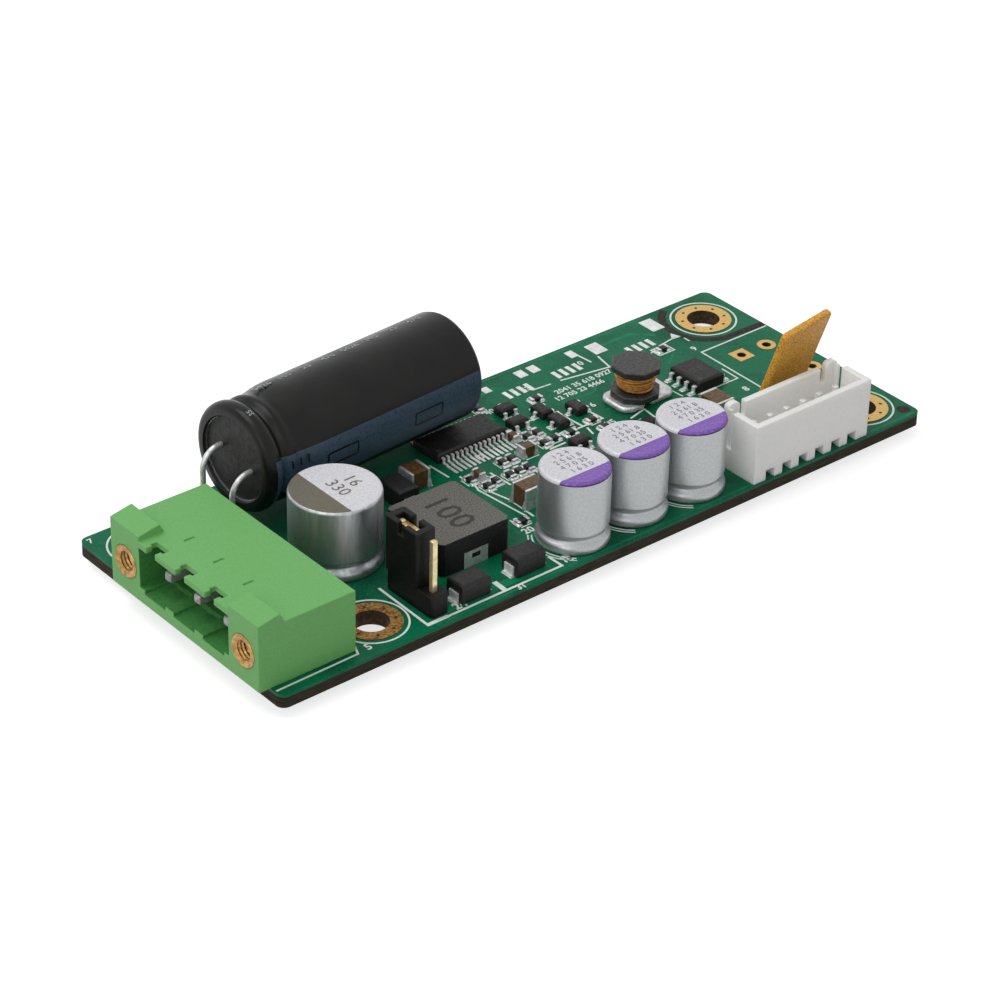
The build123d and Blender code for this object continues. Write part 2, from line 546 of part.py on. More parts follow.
def upright_capacitor(x, y, diameter, height, pitch):
    """The can, bung, roll and leads of a capacitor that stands on the board."""
    radius = diameter / 2
    neck = radius - CAN_GROOVE_DEPTH - CAN_NECK_WALL
    inside = radius - CAN_WALL
    feet = [(0, step) for step in row(2, pitch)]
    outer = can_shape(radius, height, CAN_RIM_HEIGHT, CAN_GROOVE_HEIGHT, CAN_GROOVE_DEPTH)
    with BuildPart() as can:
        add(outer)
        Cylinder(neck, BUNG_TOP, mode=Mode.SUBTRACT, align=(Align.CENTER, Align.CENTER, Align.MIN))
        with Locations((0, 0, BUNG_TOP)):
            Cylinder(inside, height - CAN_WALL - BUNG_TOP, mode=Mode.SUBTRACT,
                     align=(Align.CENTER, Align.CENTER, Align.MIN))
    with BuildPart() as bung:
        with Locations((0, 0, BUNG_RECESS)):
            Cylinder(neck, BUNG_TOP - BUNG_RECESS, align=(Align.CENTER, Align.CENTER, Align.MIN))
        with Locations(*[(fx, fy, BUNG_TOP / 2) for fx, fy in feet]):
            Cylinder(lead_radius, BUNG_TOP, mode=Mode.SUBTRACT)
    with BuildPart() as roll:
        with Locations((0, 0, BUNG_TOP)):
            Cylinder(inside - ROLL_CLEARANCE, height - CAN_WALL - ROLL_CLEARANCE - BUNG_TOP,
                     align=(Align.CENTER, Align.CENTER, Align.MIN))
    with BuildPart() as leads:
        with Locations(*[(fx, fy, -TOP - LEAD_STUB) for fx, fy in feet]):
            Cylinder(lead_radius, TOP + LEAD_STUB + BUNG_TOP,
                     align=(Align.CENTER, Align.CENTER, Align.MIN))
    place = Location((x, y, TOP))
    return [piece.part.moved(place) for piece in (can, bung, roll, leads)]


input_can, input_bung, input_roll, input_leads = upright_capacitor(
    INPUT_CAN_X, INPUT_CAN_Y, INPUT_CAN_DIAMETER, INPUT_CAN_HEIGHT, INPUT_LEAD_PITCH)
output_capacitors = [upright_capacitor(x, y, OUTPUT_CAN_DIAMETER, OUTPUT_CAN_HEIGHT,
                                       OUTPUT_LEAD_PITCH) for x, y in OUTPUT_CAN_PLACES]

# Bulk capacitor, built along z from its bung end and then laid down
bulk_radius = BULK_DIAMETER / 2 - BULK_SLEEVE
bulk_form = can_shape(bulk_radius, BULK_LENGTH, BULK_RIM, BULK_GROOVE, BULK_GROOVE_DEPTH)
bulk_neck = bulk_radius - BULK_GROOVE_DEPTH - CAN_NECK_WALL
bulk_feet = [(step * cos(radians(BULK_LEAD_TILT)), step * sin(radians(BULK_LEAD_TILT)))
             for step in row(2, BULK_LEAD_PITCH)]
with BuildPart() as bulk_can:
    add(bulk_form)
    Cylinder(bulk_neck, BULK_BUNG_TOP, mode=Mode.SUBTRACT,
             align=(Align.CENTER, Align.CENTER, Align.MIN))
    with Locations((0, 0, BULK_BUNG_TOP)):
        Cylinder(bulk_radius - BULK_CAN_WALL, BULK_LENGTH - BULK_CAN_WALL - BULK_BUNG_TOP,
                 mode=Mode.SUBTRACT, align=(Align.CENTER, Align.CENTER, Align.MIN))
with BuildPart() as bulk_sleeve:
    add(can_shape(bulk_radius + BULK_SLEEVE, BULK_LENGTH + BULK_SLEEVE, BULK_RIM, BULK_GROOVE,
                  BULK_GROOVE_DEPTH, -BULK_SLEEVE))
    add(bulk_form, mode=Mode.SUBTRACT)
    with Locations((0, 0, -BULK_SLEEVE / 2), (0, 0, BULK_LENGTH + BULK_SLEEVE / 2)):
        Cylinder(bulk_radius - BULK_SLEEVE_LIP, BULK_SLEEVE, mode=Mode.SUBTRACT)
with BuildPart() as bulk_bung:
    with Locations((0, 0, BUNG_RECESS)):
        Cylinder(bulk_neck, BULK_BUNG_TOP - BUNG_RECESS,
                 align=(Align.CENTER, Align.CENTER, Align.MIN))
    with Locations(*[(fx, fy, BULK_BUNG_TOP / 2) for fx, fy in bulk_feet]):
        Cylinder(BULK_LEAD_DIAMETER / 2, BULK_BUNG_TOP, mode=Mode.SUBTRACT)
with BuildPart() as bulk_roll:
    with Locations((0, 0, BULK_BUNG_TOP)):
        Cylinder(bulk_radius - BULK_CAN_WALL - ROLL_CLEARANCE,
                 BULK_LENGTH - BULK_CAN_WALL - ROLL_CLEARANCE - BULK_BUNG_TOP,
                 align=(Align.CENTER, Align.CENTER, Align.MIN))


def bent_lead(points, bend, diameter):
    """A round wire along the points, with its corners bent to one radius."""
    with BuildPart() as wire:
        with BuildLine() as path:
            FilletPolyline(*points, radius=bend)
        with BuildSketch(path.line ^ 0):
            Circle(diameter / 2)
        sweep()
    return wire.part


with BuildPart() as bulk_leads:
    for start, foot in zip(bulk_lead_starts, bulk_lead_feet):
        inner = start + bulk_direction * BULK_BUNG_TOP
        add(bent_lead([inner, foot, Vector(foot.X, foot.Y, -LEAD_STUB)], BULK_LEAD_BEND,
                      BULK_LEAD_DIAMETER))

# Jumper base and pins
with BuildPart() as jumper_pins:
    with Locations(*[(JUMPER_X, y, -LEAD_STUB) for y in jumper_pin_ys]):
        ground_box(JUMPER_PIN_SIZE, JUMPER_PIN_SIZE,
                   LEAD_STUB + TOP + JUMPER_BASE_HEIGHT + JUMPER_PIN_RISE)
with BuildPart() as jumper_base:
    with Locations(*[(JUMPER_X, y, TOP) for y in jumper_pin_ys]):
        ground_box(JUMPER_BASE_WIDTH, JUMPER_PITCH, JUMPER_BASE_HEIGHT)
    corners = jumper_base.edges().filter_by(Axis.Z).sort_by(Axis.Y)
    chamfer(corners[:2] + corners[-2:], JUMPER_BASE_CHAMFER)
    add(jumper_pins.part, mode=Mode.SUBTRACT)

# Shunt: two humps with a saddle between them, and a well through it for the pins and contact
shunt_floor = TOP + JUMPER_BASE_HEIGHT
well_length = JUMPER_PITCH + JUMPER_PIN_SIZE + 2 * CONTACT_THICKNESS
with BuildPart() as jumper_shunt:
    with Locations((JUMPER_X, shunt_y, shunt_floor)):
        ground_box(SHUNT_WIDTH, SHUNT_LENGTH, SHUNT_HEIGHT)
    with Locations((JUMPER_X, shunt_y, shunt_floor + SHUNT_HEIGHT - SHUNT_SADDLE)):
        Box(SHUNT_WIDTH, SHUNT_WAIST, SHUNT_SADDLE, mode=Mode.SUBTRACT,
            align=(Align.CENTER, Align.CENTER, Align.MIN))
    fillet(jumper_shunt.edges().filter_by(Axis.Z).group_by(Axis.Y)[0], SHUNT_CORNER)
    fillet(jumper_shunt.edges().filter_by(Axis.Z).group_by(Axis.Y)[-1], SHUNT_CORNER)
    with Locations((JUMPER_X, shunt_y, shunt_floor)):
        Box(SHUNT_WELL_WIDTH, well_length, SHUNT_HEIGHT, mode=Mode.SUBTRACT,
            align=(Align.CENTER, Align.CENTER, Align.MIN))

# Spring contact: a strip bent over like a staple, gripping the outer faces of two pins
contact_top = shunt_floor + SHUNT_HEIGHT - SHUNT_SADDLE / 2
with BuildPart() as jumper_contact:
    with Locations((JUMPER_X, shunt_y, contact_top - CONTACT_DROP)):
        ground_box(CONTACT_WIDTH, well_length, CONTACT_DROP)
        Box(CONTACT_WIDTH, well_length - 2 * CONTACT_THICKNESS, CONTACT_DROP - CONTACT_THICKNESS,
            mode=Mode.SUBTRACT, align=(Align.CENTER, Align.CENTER, Align.MIN))
    add(jumper_pins.part, mode=Mode.SUBTRACT)

# Moulded choke with the coil inside it and a strap at each end
with BuildPart() as choke_coil:
    with Locations((CHOKE_X, CHOKE_Y, TOP + CHOKE_HEIGHT / 2)):
        Cylinder(CHOKE_COIL_OUTER, CHOKE_COIL_HEIGHT)
        Cylinder(CHOKE_COIL_INNER, CHOKE_COIL_HEIGHT, mode=Mode.SUBTRACT)
with BuildPart() as choke_terminals:
    for side in (-1, 1):
        face_y = CHOKE_Y + side * (CHOKE_WIDTH - CHOKE_TERMINAL_THICKNESS) / 2
        foot_y = CHOKE_Y + side * (CHOKE_WIDTH - CHOKE_TERMINAL_FOOT) / 2
        with Locations((CHOKE_X, face_y, TOP)):
            ground_box(CHOKE_TERMINAL_WIDTH, CHOKE_TERMINAL_THICKNESS, CHOKE_TERMINAL_HEIGHT)
        with Locations((CHOKE_X, foot_y, TOP)):
            ground_box(CHOKE_TERMINAL_WIDTH, CHOKE_TERMINAL_FOOT, CHOKE_TERMINAL_THICKNESS)
with BuildPart() as choke_body:
    with Locations((CHOKE_X, CHOKE_Y, TOP)):
        ground_box(CHOKE_LENGTH, CHOKE_WIDTH, CHOKE_HEIGHT)
    chamfer(choke_body.edges().filter_by(Axis.Z), CHOKE_EDGE)
    add(choke_terminals.part, mode=Mode.SUBTRACT)
    add(choke_coil.part, mode=Mode.SUBTRACT)

# Drum choke: ferrite drum, winding, and two terminals under it
drum_floor = TOP + DRUM_TERMINAL_THICKNESS
drum_radius = DRUM_WIDTH / 2 / cos(pi / DRUM_SIDES)
window = DRUM_HEIGHT - 2 * DRUM_FLANGE
with BuildPart() as drum_core:
    for level in (drum_floor, drum_floor + DRUM_HEIGHT - DRUM_FLANGE):
        with BuildSketch(Plane.XY.offset(level)):
            with Locations((DRUM_X, DRUM_Y)):
                RegularPolygon(drum_radius, DRUM_SIDES, rotation=180 / DRUM_SIDES)
        extrude(amount=DRUM_FLANGE)
    with Locations((DRUM_X, DRUM_Y, drum_floor)):
        Cylinder(DRUM_POST_DIAMETER / 2, DRUM_HEIGHT, align=(Align.CENTER, Align.CENTER, Align.MIN))
with BuildPart() as drum_winding:
    with Locations((DRUM_X, DRUM_Y, drum_floor + DRUM_FLANGE)):
        Cone(DRUM_WINDING_FOOT / 2, DRUM_WINDING_DIAMETER / 2, window,
             align=(Align.CENTER, Align.CENTER, Align.MIN))
        Cylinder(DRUM_POST_DIAMETER / 2, window, mode=Mode.SUBTRACT,
                 align=(Align.CENTER, Align.CENTER, Align.MIN))
with BuildPart() as drum_terminals:
    for side, reach in ((-1, DRUM_TERMINAL_LEFT), (1, DRUM_TERMINAL_RIGHT)):
        length = reach - DRUM_TERMINAL_GAP / 2
        with Locations((DRUM_X + side * (reach + DRUM_TERMINAL_GAP / 2) / 2, DRUM_Y, TOP)):
            ground_box(length, DRUM_TERMINAL_DEPTH, DRUM_TERMINAL_THICKNESS)
    uprights = drum_terminals.edges().filter_by(Axis.Z).group_by(Axis.X)
    fillet(uprights[0] + uprights[-1], DRUM_TERMINAL_ROUND)

# Fuse plate, and its leads bent down into the board
with BuildPart() as fuse_plate:
    Box(FUSE_WIDTH, FUSE_THICKNESS, FUSE_HEIGHT, align=(Align.CENTER, Align.CENTER, Align.MIN))
    fillet(fuse_plate.edges().filter_by(Axis.Y), FUSE_CORNER)
fuse_body = fuse_plate.part.moved(fuse_place)
with BuildPart() as fuse_leads:
    for start, knee in zip(fuse_starts, fuse_knees):
        foot = Vector(knee.position.X, knee.position.Y, -LEAD_STUB)
        add(bent_lead([start.position, knee.position, foot], FUSE_LEAD_BEND / 2,
                      FUSE_LEAD_DIAMETER))


def gull_lead(inner, outer, width, shoulder, foot):
    """One bent chip lead along +x, from the body's side to the end of its foot."""
    bend = outer - foot
    with BuildPart() as lead:
        with BuildSketch(Plane.XZ):
            with BuildLine():
                Polyline((inner, shoulder), (bend, shoulder), (bend, GULL_THICKNESS),
                         (outer, GULL_THICKNESS), (outer, 0), (bend - GULL_THICKNESS, 0),
                         (bend - GULL_THICKNESS, shoulder - GULL_THICKNESS),
                         (inner, shoulder - GULL_THICKNESS), close=True)
            make_face()
        extrude(amount=width / 2, both=True)
    return lead.part


def leaded_chip(x, y, angle, length, width, height, span, steps_left, steps_right, lead_width,
                foot=GULL_FOOT):
    """A moulded chip along y with bent leads on its two x sides, as body and leads."""
    shoulder = CHIP_STANDOFF + height / 2 + GULL_THICKNESS / 2
    with BuildPart() as body:
        with Locations((0, 0, CHIP_STANDOFF)):
            ground_box(width, length, height)
        chamfer(body.faces().sort_by(Axis.Z)[-1].edges(), CHIP_BEVEL)
    with BuildPart() as leads:
        one = gull_lead(width / 2, span / 2, lead_width, shoulder, foot)
        for step in steps_right:
            add(one.moved(Location((0, step, 0))))
        for step in steps_left:
            add(one.moved(Location((0, step, 0), (0, 0, 180))))
    place = turned(x, y, angle, TOP)
    return body.part.moved(place), leads.part.moved(place)


controller_body, controller_leads = leaded_chip(
    CONTROLLER_X, CONTROLLER_Y, 90, CONTROLLER_LENGTH, CONTROLLER_WIDTH, CONTROLLER_HEIGHT,
    CONTROLLER_SPAN, controller_steps, controller_steps, CONTROLLER_LEAD_WIDTH)
regulator_steps = row(REGULATOR_LEAD_COUNT, REGULATOR_PITCH)
regulator_body, regulator_leads = leaded_chip(
    REGULATOR_X, REGULATOR_Y, 0, REGULATOR_LENGTH, REGULATOR_WIDTH, REGULATOR_HEIGHT,
    REGULATOR_SPAN, regulator_steps, regulator_steps, REGULATOR_LEAD_WIDTH)

transistors = [leaded_chip(x, y, angle + 90, TRANSISTOR_LENGTH, TRANSISTOR_WIDTH,
                           TRANSISTOR_HEIGHT, TRANSISTOR_SPAN, row(2, TRANSISTOR_PITCH),
                           row(1, TRANSISTOR_PITCH), TRANSISTOR_LEAD_WIDTH, TRANSISTOR_FOOT)
               for x, y, angle in TRANSISTOR_PLACES]
with BuildPart() as transistor_bodies:
    for body, leads in transistors:
        add(body)
with BuildPart() as transistor_leads:
    for body, leads in transistors:
        add(leads)


def moulded_diode(x, y, angle):
    """A moulded diode along x, as its body and its two straps."""
    with BuildPart() as straps:
        for side in (-1, 1):
            reach = DIODE_LENGTH / 2 + DIODE_TERMINAL_THICKNESS / 2
            with Locations((side * reach, 0, 0)):
                ground_box(DIODE_TERMINAL_THICKNESS, DIODE_TERMINAL_WIDTH, DIODE_TERMINAL_HEIGHT)
            reach = DIODE_LENGTH / 2 + DIODE_TERMINAL_REACH / 2
            with Locations((side * reach, 0, 0)):
                ground_box(DIODE_TERMINAL_REACH, DIODE_TERMINAL_WIDTH, DIODE_TERMINAL_THICKNESS)
    with BuildPart() as body:
        with Locations((0, 0, CHIP_STANDOFF)):
            ground_box(DIODE_LENGTH, DIODE_WIDTH, DIODE_HEIGHT)
        chamfer(body.faces().sort_by(Axis.Z)[-1].edges(), CHIP_BEVEL)
    place = turned(x, y, angle, TOP)
    return body.part.moved(place), straps.part.moved(place)


diodes = [moulded_diode(*place) for place in DIODE_PLACES]
with BuildPart() as diode_terminals:
    for body, straps in diodes:
        add(straps)


def end_capped_chip(x, y, length, width, height, angle):
    """A chip along x with a tinned block at each end, as its body and its ends."""
    with BuildPart() as body:
        ground_box(length - 2 * CHIP_END, width, height)
    with BuildPart() as ends:
        with Locations(*[(side * (length - CHIP_END) / 2, 0, 0) for side in (-1, 1)]):
            ground_box(CHIP_END, width, height)
    place = turned(x, y, angle, TOP)
    return body.part.moved(place), ends.part.moved(place)


ceramics = [end_capped_chip(*place) for place in CERAMIC_PLACES]
resistors = [end_capped_chip(x, y, RESISTOR_LENGTH, RESISTOR_WIDTH, RESISTOR_HEIGHT, angle)
             for x, y, angle in RESISTOR_PLACES]
with BuildPart() as ceramic_bodies:
    for body, ends in ceramics:
        add(body)
with BuildPart() as ceramic_ends:
    for body, ends in ceramics:
        add(ends)
with BuildPart() as resistor_bodies:
    for body, ends in resistors:
        add(body)
with BuildPart() as resistor_ends:
    for body, ends in resistors:
        add(ends)

pieces = {
    "circuit_board": circuit_board.part,
    "mounting_rings": mounting_rings.part,
    "footprint_pads": footprint_pads.part,
    "tinned_pads": tinned_pads.part,
    "solder_joints": solder_joints.part,
    "input_socket": input_socket.part,
    "input_pins": input_pins.part,
    "input_inserts": input_inserts.part,
    "output_socket": output_socket.part,
    "output_pins": output_pins.part,
    "bulk_can": bulk_can.part.moved(bulk_place),
    "bulk_sleeve": bulk_sleeve.part.moved(bulk_place),
    "bulk_bung": bulk_bung.part.moved(bulk_place),
    "bulk_roll": bulk_roll.part.moved(bulk_place),
    "bulk_leads": bulk_leads.part,
    "input_can": input_can,
    "input_bung": input_bung,
    "input_roll": input_roll,
    "input_can_leads": input_leads,
    "jumper_base": jumper_base.part,
    "jumper_pins": jumper_pins.part,
    "jumper_shunt": jumper_shunt.part,
    "jumper_contact": jumper_contact.part,
    "choke_body": choke_body.part,
    "choke_coil": choke_coil.part,
    "choke_terminals": choke_terminals.part,
    "drum_core": drum_core.part,
    "drum_winding": drum_winding.part,
    "drum_terminals": drum_terminals.part,
    "fuse_plate": fuse_body,
    "fuse_leads": fuse_leads.part,
    "controller_body": controller_body,
    "controller_leads": controller_leads,
    "regulator_body": regulator_body,
    "regulator_leads": regulator_leads,
    "transistor_bodies": transistor_bodies.part,
    "transistor_leads": transistor_leads.part,
    "diode_terminals": diode_terminals.part,
    "ceramic_bodies": ceramic_bodies.part,
    "ceramic_ends": ceramic_ends.part,
    "resistor_bodies": resistor_bodies.part,
    "resistor_ends": resistor_ends.part,
}
for number, (can, bung, roll, leads) in enumerate(output_capacitors, 1):
    pieces[f"output_can_{number}"] = can
    pieces[f"output_bung_{number}"] = bung
    pieces[f"output_roll_{number}"] = roll
    pieces[f"output_can_leads_{number}"] = leads
for number, (body, straps) in enumerate(diodes, 1):
    pieces[f"diode_body_{number}"] = body

saved = [save(shape, name) for name, shape in pieces.items()]
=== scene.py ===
from math import cos, pi, radians, sin, tau

import bmesh
import bpy
from mathutils import Matrix, Vector


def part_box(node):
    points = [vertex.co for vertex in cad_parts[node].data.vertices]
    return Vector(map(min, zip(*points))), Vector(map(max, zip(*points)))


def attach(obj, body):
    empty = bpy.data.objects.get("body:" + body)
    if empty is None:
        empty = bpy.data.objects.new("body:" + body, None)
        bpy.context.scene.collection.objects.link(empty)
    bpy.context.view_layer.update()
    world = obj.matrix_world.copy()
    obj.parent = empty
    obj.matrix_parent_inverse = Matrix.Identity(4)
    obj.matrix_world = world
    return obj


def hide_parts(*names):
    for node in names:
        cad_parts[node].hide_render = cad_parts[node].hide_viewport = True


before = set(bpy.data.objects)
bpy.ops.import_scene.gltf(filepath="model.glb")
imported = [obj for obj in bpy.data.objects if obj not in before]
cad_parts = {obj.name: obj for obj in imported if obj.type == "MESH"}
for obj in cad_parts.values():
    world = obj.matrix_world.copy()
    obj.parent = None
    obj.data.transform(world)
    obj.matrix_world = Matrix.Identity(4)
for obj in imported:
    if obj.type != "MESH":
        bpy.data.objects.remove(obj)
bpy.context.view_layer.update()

bl_info = {
    "name": "Dc-dc converter board",
    "version": (1, 0, 0),
    "blender": (4, 5, 0),
    "location": "3D View > Sidebar > Converter",
    "description": "Dresses the packed converter board with its finishes, prints, solder and stage",
    "category": "Add Mesh",
}

MM = 0.001
BOARD_LOW, BOARD_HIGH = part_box("circuit_board")
BOARD_TOP = BOARD_HIGH.z

# Printed lines on the board, as width and points in mm from its front left corner
PRINTED_LINES = [
    (0.22, [(89.7, 25.26), (79.41, 25.25), (79.3, 12.2)]),
    (0.2, [(72.6, 18.27), (78.62, 18.26), (78.64, 20.84)]), (0.18, [(70.56, 22.67), (70.81, 19.16)]),
    (0.2, [(79.3, 29.8), (76.75, 29.4), (74.7, 28.7)]),
    (0.18, [(75.0, 29.2), (77.3, 29.2), (77.3, 27.6), (75.0, 27.6), (75.0, 29.2)]),
    (0.3, [(19.35, 9.2), (19.15, 0.93), (37.1, 0.92), (37.05, 2.91)]), (0.5, [(19.3, 0.98), (21.6, 0.98)]),
    (0.6, [(29.5, 2.6), (29.45, 1.3)]), (0.24, [(0.3, 1.14), (10.43, 1.27), (10.94, 2.43)]),
    (0.24, [(39.79, 21.1), (39.94, 18.77), (39.62, 17.76), (40.36, 10.69)]),
    (0.24, [(40.4, 16.93), (41.05, 14.15), (40.97, 10.21)]),
    (0.24, [(67.44, 33.9), (67.68, 31.46)]), (0.24, [(69.17, 31.81), (68.65, 29.21), (62.2, 30.3)]),
    (0.26, [(60.14, 23.1), (60.35, 21.0), (56.79, 21.0)]), (0.26, [(57.14, 24.62), (57.45, 21.0)]),
    (0.24, [(62.97, 19.06), (65.42, 19.65), (65.2, 17.68)]),
    (0.26, [(50.6, 25.9), (57.3, 25.2), (57.14, 24.6)]),
    (0.24, [(38.6, 24.89), (38.75, 21.91)]), (0.26, [(42.9, 19.65), (43.1, 16.6)]),
    (0.26, [(47.5, 19.0), (47.1, 16.6)]), (0.24, [(48.8, 25.5), (51.3, 25.5)]),
    (0.26, [(49.3, 24.4), (48.9, 21.4)]), (0.26, [(51.4, 19.5), (53.5, 19.55)]),
    (0.26, [(53.8, 21.4), (56.6, 21.5)]), (0.26, [(57.3, 19.2), (57.6, 20.4)]),
    (0.24, [(45.4, 16.1), (45.2, 14.2)]), (0.22, [(43.3, 13.6), (46.6, 13.4)]),
    (0.24, [(53.9, 25.4), (55.9, 26.3)]), (0.22, [(58.2, 30.6), (60.6, 30.4)]),
]
# Rows of numerals on the board, as text, height, x, y and turn in degrees
PRINTED_NUMERALS = [
    ("24", 1.1, 24.0, 1.75, 0), ("31", 0.8, 31.2, 0.52, 0), ("32", 1.0, 38.4, 1.7, 90),
    ("7", 0.8, 0.9, 35.0, 0), ("15", 1.0, 38.9, 10.4, 90), ("20", 1.0, 38.7, 8.3, 0),
    ("2041 35 618 0927", 0.8, 64.0, 28.5, 0), ("12 705 23 4466", 0.8, 62.4, 27.3, 0),
    ("8", 0.95, 77.7, 15.9, 0),
    ("1", 0.9, 80.1, 28.5, 0), ("6", 0.9, 61.4, 23.9, 0), ("4 5", 0.9, 60.3, 19.7, 0),
    ("10", 0.9, 66.2, 31.9, 0), ("14", 0.9, 45.3, 20.6, 90), ("17", 0.9, 44.1, 22.9, 0),
    ("21", 0.9, 51.9, 23.0, 90), ("22", 0.9, 54.6, 22.9, 0), ("26", 0.9, 55.6, 27.1, 0),
    ("29", 0.9, 48.1, 15.3, 90), ("5", 1.0, 12.0, 1.6, 0), ("53", 0.9, 57.7, 31.2, 0),
    ("40", 0.9, 51.2, 29.8, 0), ("9", 0.9, 79.3, 26.4, 0),
]
# Copper tracks that show through the lacquer, as width and points in mm
TRACKS = [
    (0.25, [(20.0, 0.42), (89.2, 0.42)]), (0.25, [(41.0, 35.55), (79.2, 35.55)]),
    (0.7, [(48.5, 33.4), (55.0, 33.4), (57.5, 31.0)]), (0.4, [(45.0, 31.9), (49.0, 31.9), (52.2, 28.8)]),
    (0.3, [(44.6, 30.6), (48.2, 30.6), (50.5, 28.3)]), (0.3, [(60.9, 26.0), (63.5, 26.0), (65.2, 27.6)]),
    (0.3, [(62.0, 22.2), (64.5, 22.2)]), (0.8, [(68.8, 17.0), (73.5, 17.0), (76.2, 14.4), (76.2, 9.0)]),
    (0.3, [(74.5, 25.5), (76.8, 27.2)]), (0.6, [(71.0, 33.6), (75.6, 33.6), (77.6, 31.8)]),
    (0.4, [(37.6, 3.4), (37.6, 6.4), (38.9, 7.7)]), (1.2, [(22.2, 2.0), (35.5, 2.0)]),
]
# Lacquered vias, in mm from the same corner
VIAS = [(37.6, 8.6), (38.2, 13.4), (41.6, 9.8), (42.2, 11.9), (44.1, 12.4), (46.9, 14.9), (49.6, 14.2),
        (49.9, 16.4), (50.2, 20.6), (46.2, 23.6), (47.3, 26.9), (49.0, 27.6), (53.1, 27.6), (55.4, 30.2),
        (57.6, 31.1), (63.4, 23.9), (64.4, 25.0), (61.9, 32.9), (63.9, 33.6), (70.9, 30.9), (72.3, 32.4),
        (73.6, 24.6), (69.2, 27.9), (77.9, 12.6), (74.3, 12.1), (72.7, 13.2), (35.9, 25.2), (33.8, 26.9)]
DARK_SPOT = (88.7, 1.6)
# Printed circle round each gold ring, and printed arcs beside each output can, in mm and degrees
RING_PRINT = (3.8, 4.02)
CAN_PRINT_RADII, CAN_PRINT_ANGLES = (4.35, 4.75), (140, 235)
# Small plated holes in each gold ring, as their number and their distance from its middle in mm
RING_VIAS, RING_VIA_REACH = 8, 2.62
# Unlacquered band round the back right ring, as its radius, width and far end in mm and its angles
BARE_BAND_RADIUS, BARE_BAND_WIDTH, BARE_BAND_END = 4.95, 0.95, (89.45, 25.9)
BARE_BAND_START, BARE_BAND_STOP = 118, 262
# Marks on the sleeve's stripe, as mm from the sleeve's far end, with the length of each outlined box
STRIPE_BOXES, STRIPE_TICKS = ((8.05, 3.9), (20.4, 4.2)), (25.2, 26.3, 27.4)
SLEEVE_NUMERALS = ("470", "25", "105", "0426") * 2
# Printed rows on the input can and on each output can, as text, height, shift along and across in mm
INPUT_CAN_ROWS = [("330", 1.5, 0.2, -0.2), ("16", 1.5, 0.0, -2.2)]
OUTPUT_CAN_ROWS = [("1 2 4", 0.75, 0.1, -2.5), ("2 5 61 8", 0.75, 0.2, -1.4),
                   ("4 7 0 35", 0.75, 0.1, -0.3), ("1 6 3 0", 0.75, 0.3, 0.8)]
# Camera, as its turn, rise and roll in degrees, its lens and its distance in mm, and where it looks
CAMERA_ANGLES = (-40.497, 32.181, 1.428)
CAMERA_LENS, CAMERA_REACH, CAMERA_TARGET = 117.92, 356.364, (-2.372, -1.964, 1.3)
# Lamps, as name, place and width in metres, and power in watts
LAMPS = [("key", (-0.15, 0.12, 0.45), 0.35, 0.9), ("fill", (-0.4, -0.2, 0.25), 0.3, 0.3)]
FLOOR_GREY, FLOOR_GLOW, ROOM_LIGHT = "#C2C2C2", 0.72, 0.5


def linear(code):
    """Turn an sRGB hex value into linear red, green and blue."""
    parts = [int(code[start:start + 2], 16) / 255 for start in (1, 3, 5)]
    return [part / 12.92 if part <= 0.04045 else ((part + 0.055) / 1.055) ** 2.4 for part in parts]


def shade(label, words, code):
    """A colour that the user can change."""
    return bpy.props.FloatVectorProperty(name=label, description=words, subtype="COLOR", size=3,
                                         min=0.0, max=1.0, default=linear(code))


def length(label, words, millimetres):
    """A length that the user can change."""
    return bpy.props.FloatProperty(name=label, description=words, unit="LENGTH", min=0.0,
                                   default=millimetres * MM)


class ConverterSizes(bpy.types.PropertyGroup):
    """Sizes of the dressing, in metres"""
    moulded_edge: length("Moulded edge", "Rounding of the moulded housings", 0.12)
    chip_edge: length("Chip edge", "Rounding of the small moulded bodies", 0.07)
    print_height: length("Print height", "Thickness of the printed ink", 0.02)
    solder_spread: length("Solder spread", "How far solder runs out from a lead", 0.18)
    wire: length("Winding wire", "Thickness of the drum's wire", 0.34)
    thread: length("Thread pitch", "Pitch of the thread in the brass inserts", 0.4)
    stripe_low: bpy.props.FloatProperty(name="Stripe foot", subtype="ANGLE", default=radians(-32),
                                        description="Lower edge of the sleeve's stripe")
    stripe_high: bpy.props.FloatProperty(name="Stripe head", subtype="ANGLE", default=radians(17.5),
                                         description="Upper edge of the sleeve's stripe")


class ConverterColours(bpy.types.PropertyGroup):
    """Main colours of the dressing"""
    mask: shade("Solder mask", "Green lacquer of the board", "#0A6B49")
    laminate: shade("Laminate", "Bare edge of the board", "#352E21")
    silk: shade("Print", "White ink on the board", "#E6ECE7")
    gold: shade("Gold", "Gold on the bare pads", "#D9B368")
    green: shade("Green housing", "Moulded input socket", "#72B368")
    white: shade("White housing", "Moulded output socket", "#F6F5F2")
    sleeve: shade("Sleeve", "Shrink film of the bulk capacitor", "#0C0C0B")
    stripe: shade("Stripe", "Stripe on the shrink film", "#364653")
    purple: shade("Purple ink", "Ink on the output capacitors", "#7D55B0")
    taupe: shade("Taupe ink", "Ink on the input capacitor", "#6A6458")
    fuse: shade("Fuse coating", "Coating of the leaning fuse", "#F9B94B")
    copper: shade("Copper", "Enamelled wire", "#DE9848")


def sizes():
    """The sizes that the user can change."""
    return bpy.context.scene.converter_sizes


def tint(colour):
    """A hex value, or one of the colours that the user can change, as linear colour and alpha."""
    if colour.startswith("#"):
        return (*linear(colour), 1.0)
    return (*getattr(bpy.context.scene.converter_colours, colour), 1.0)


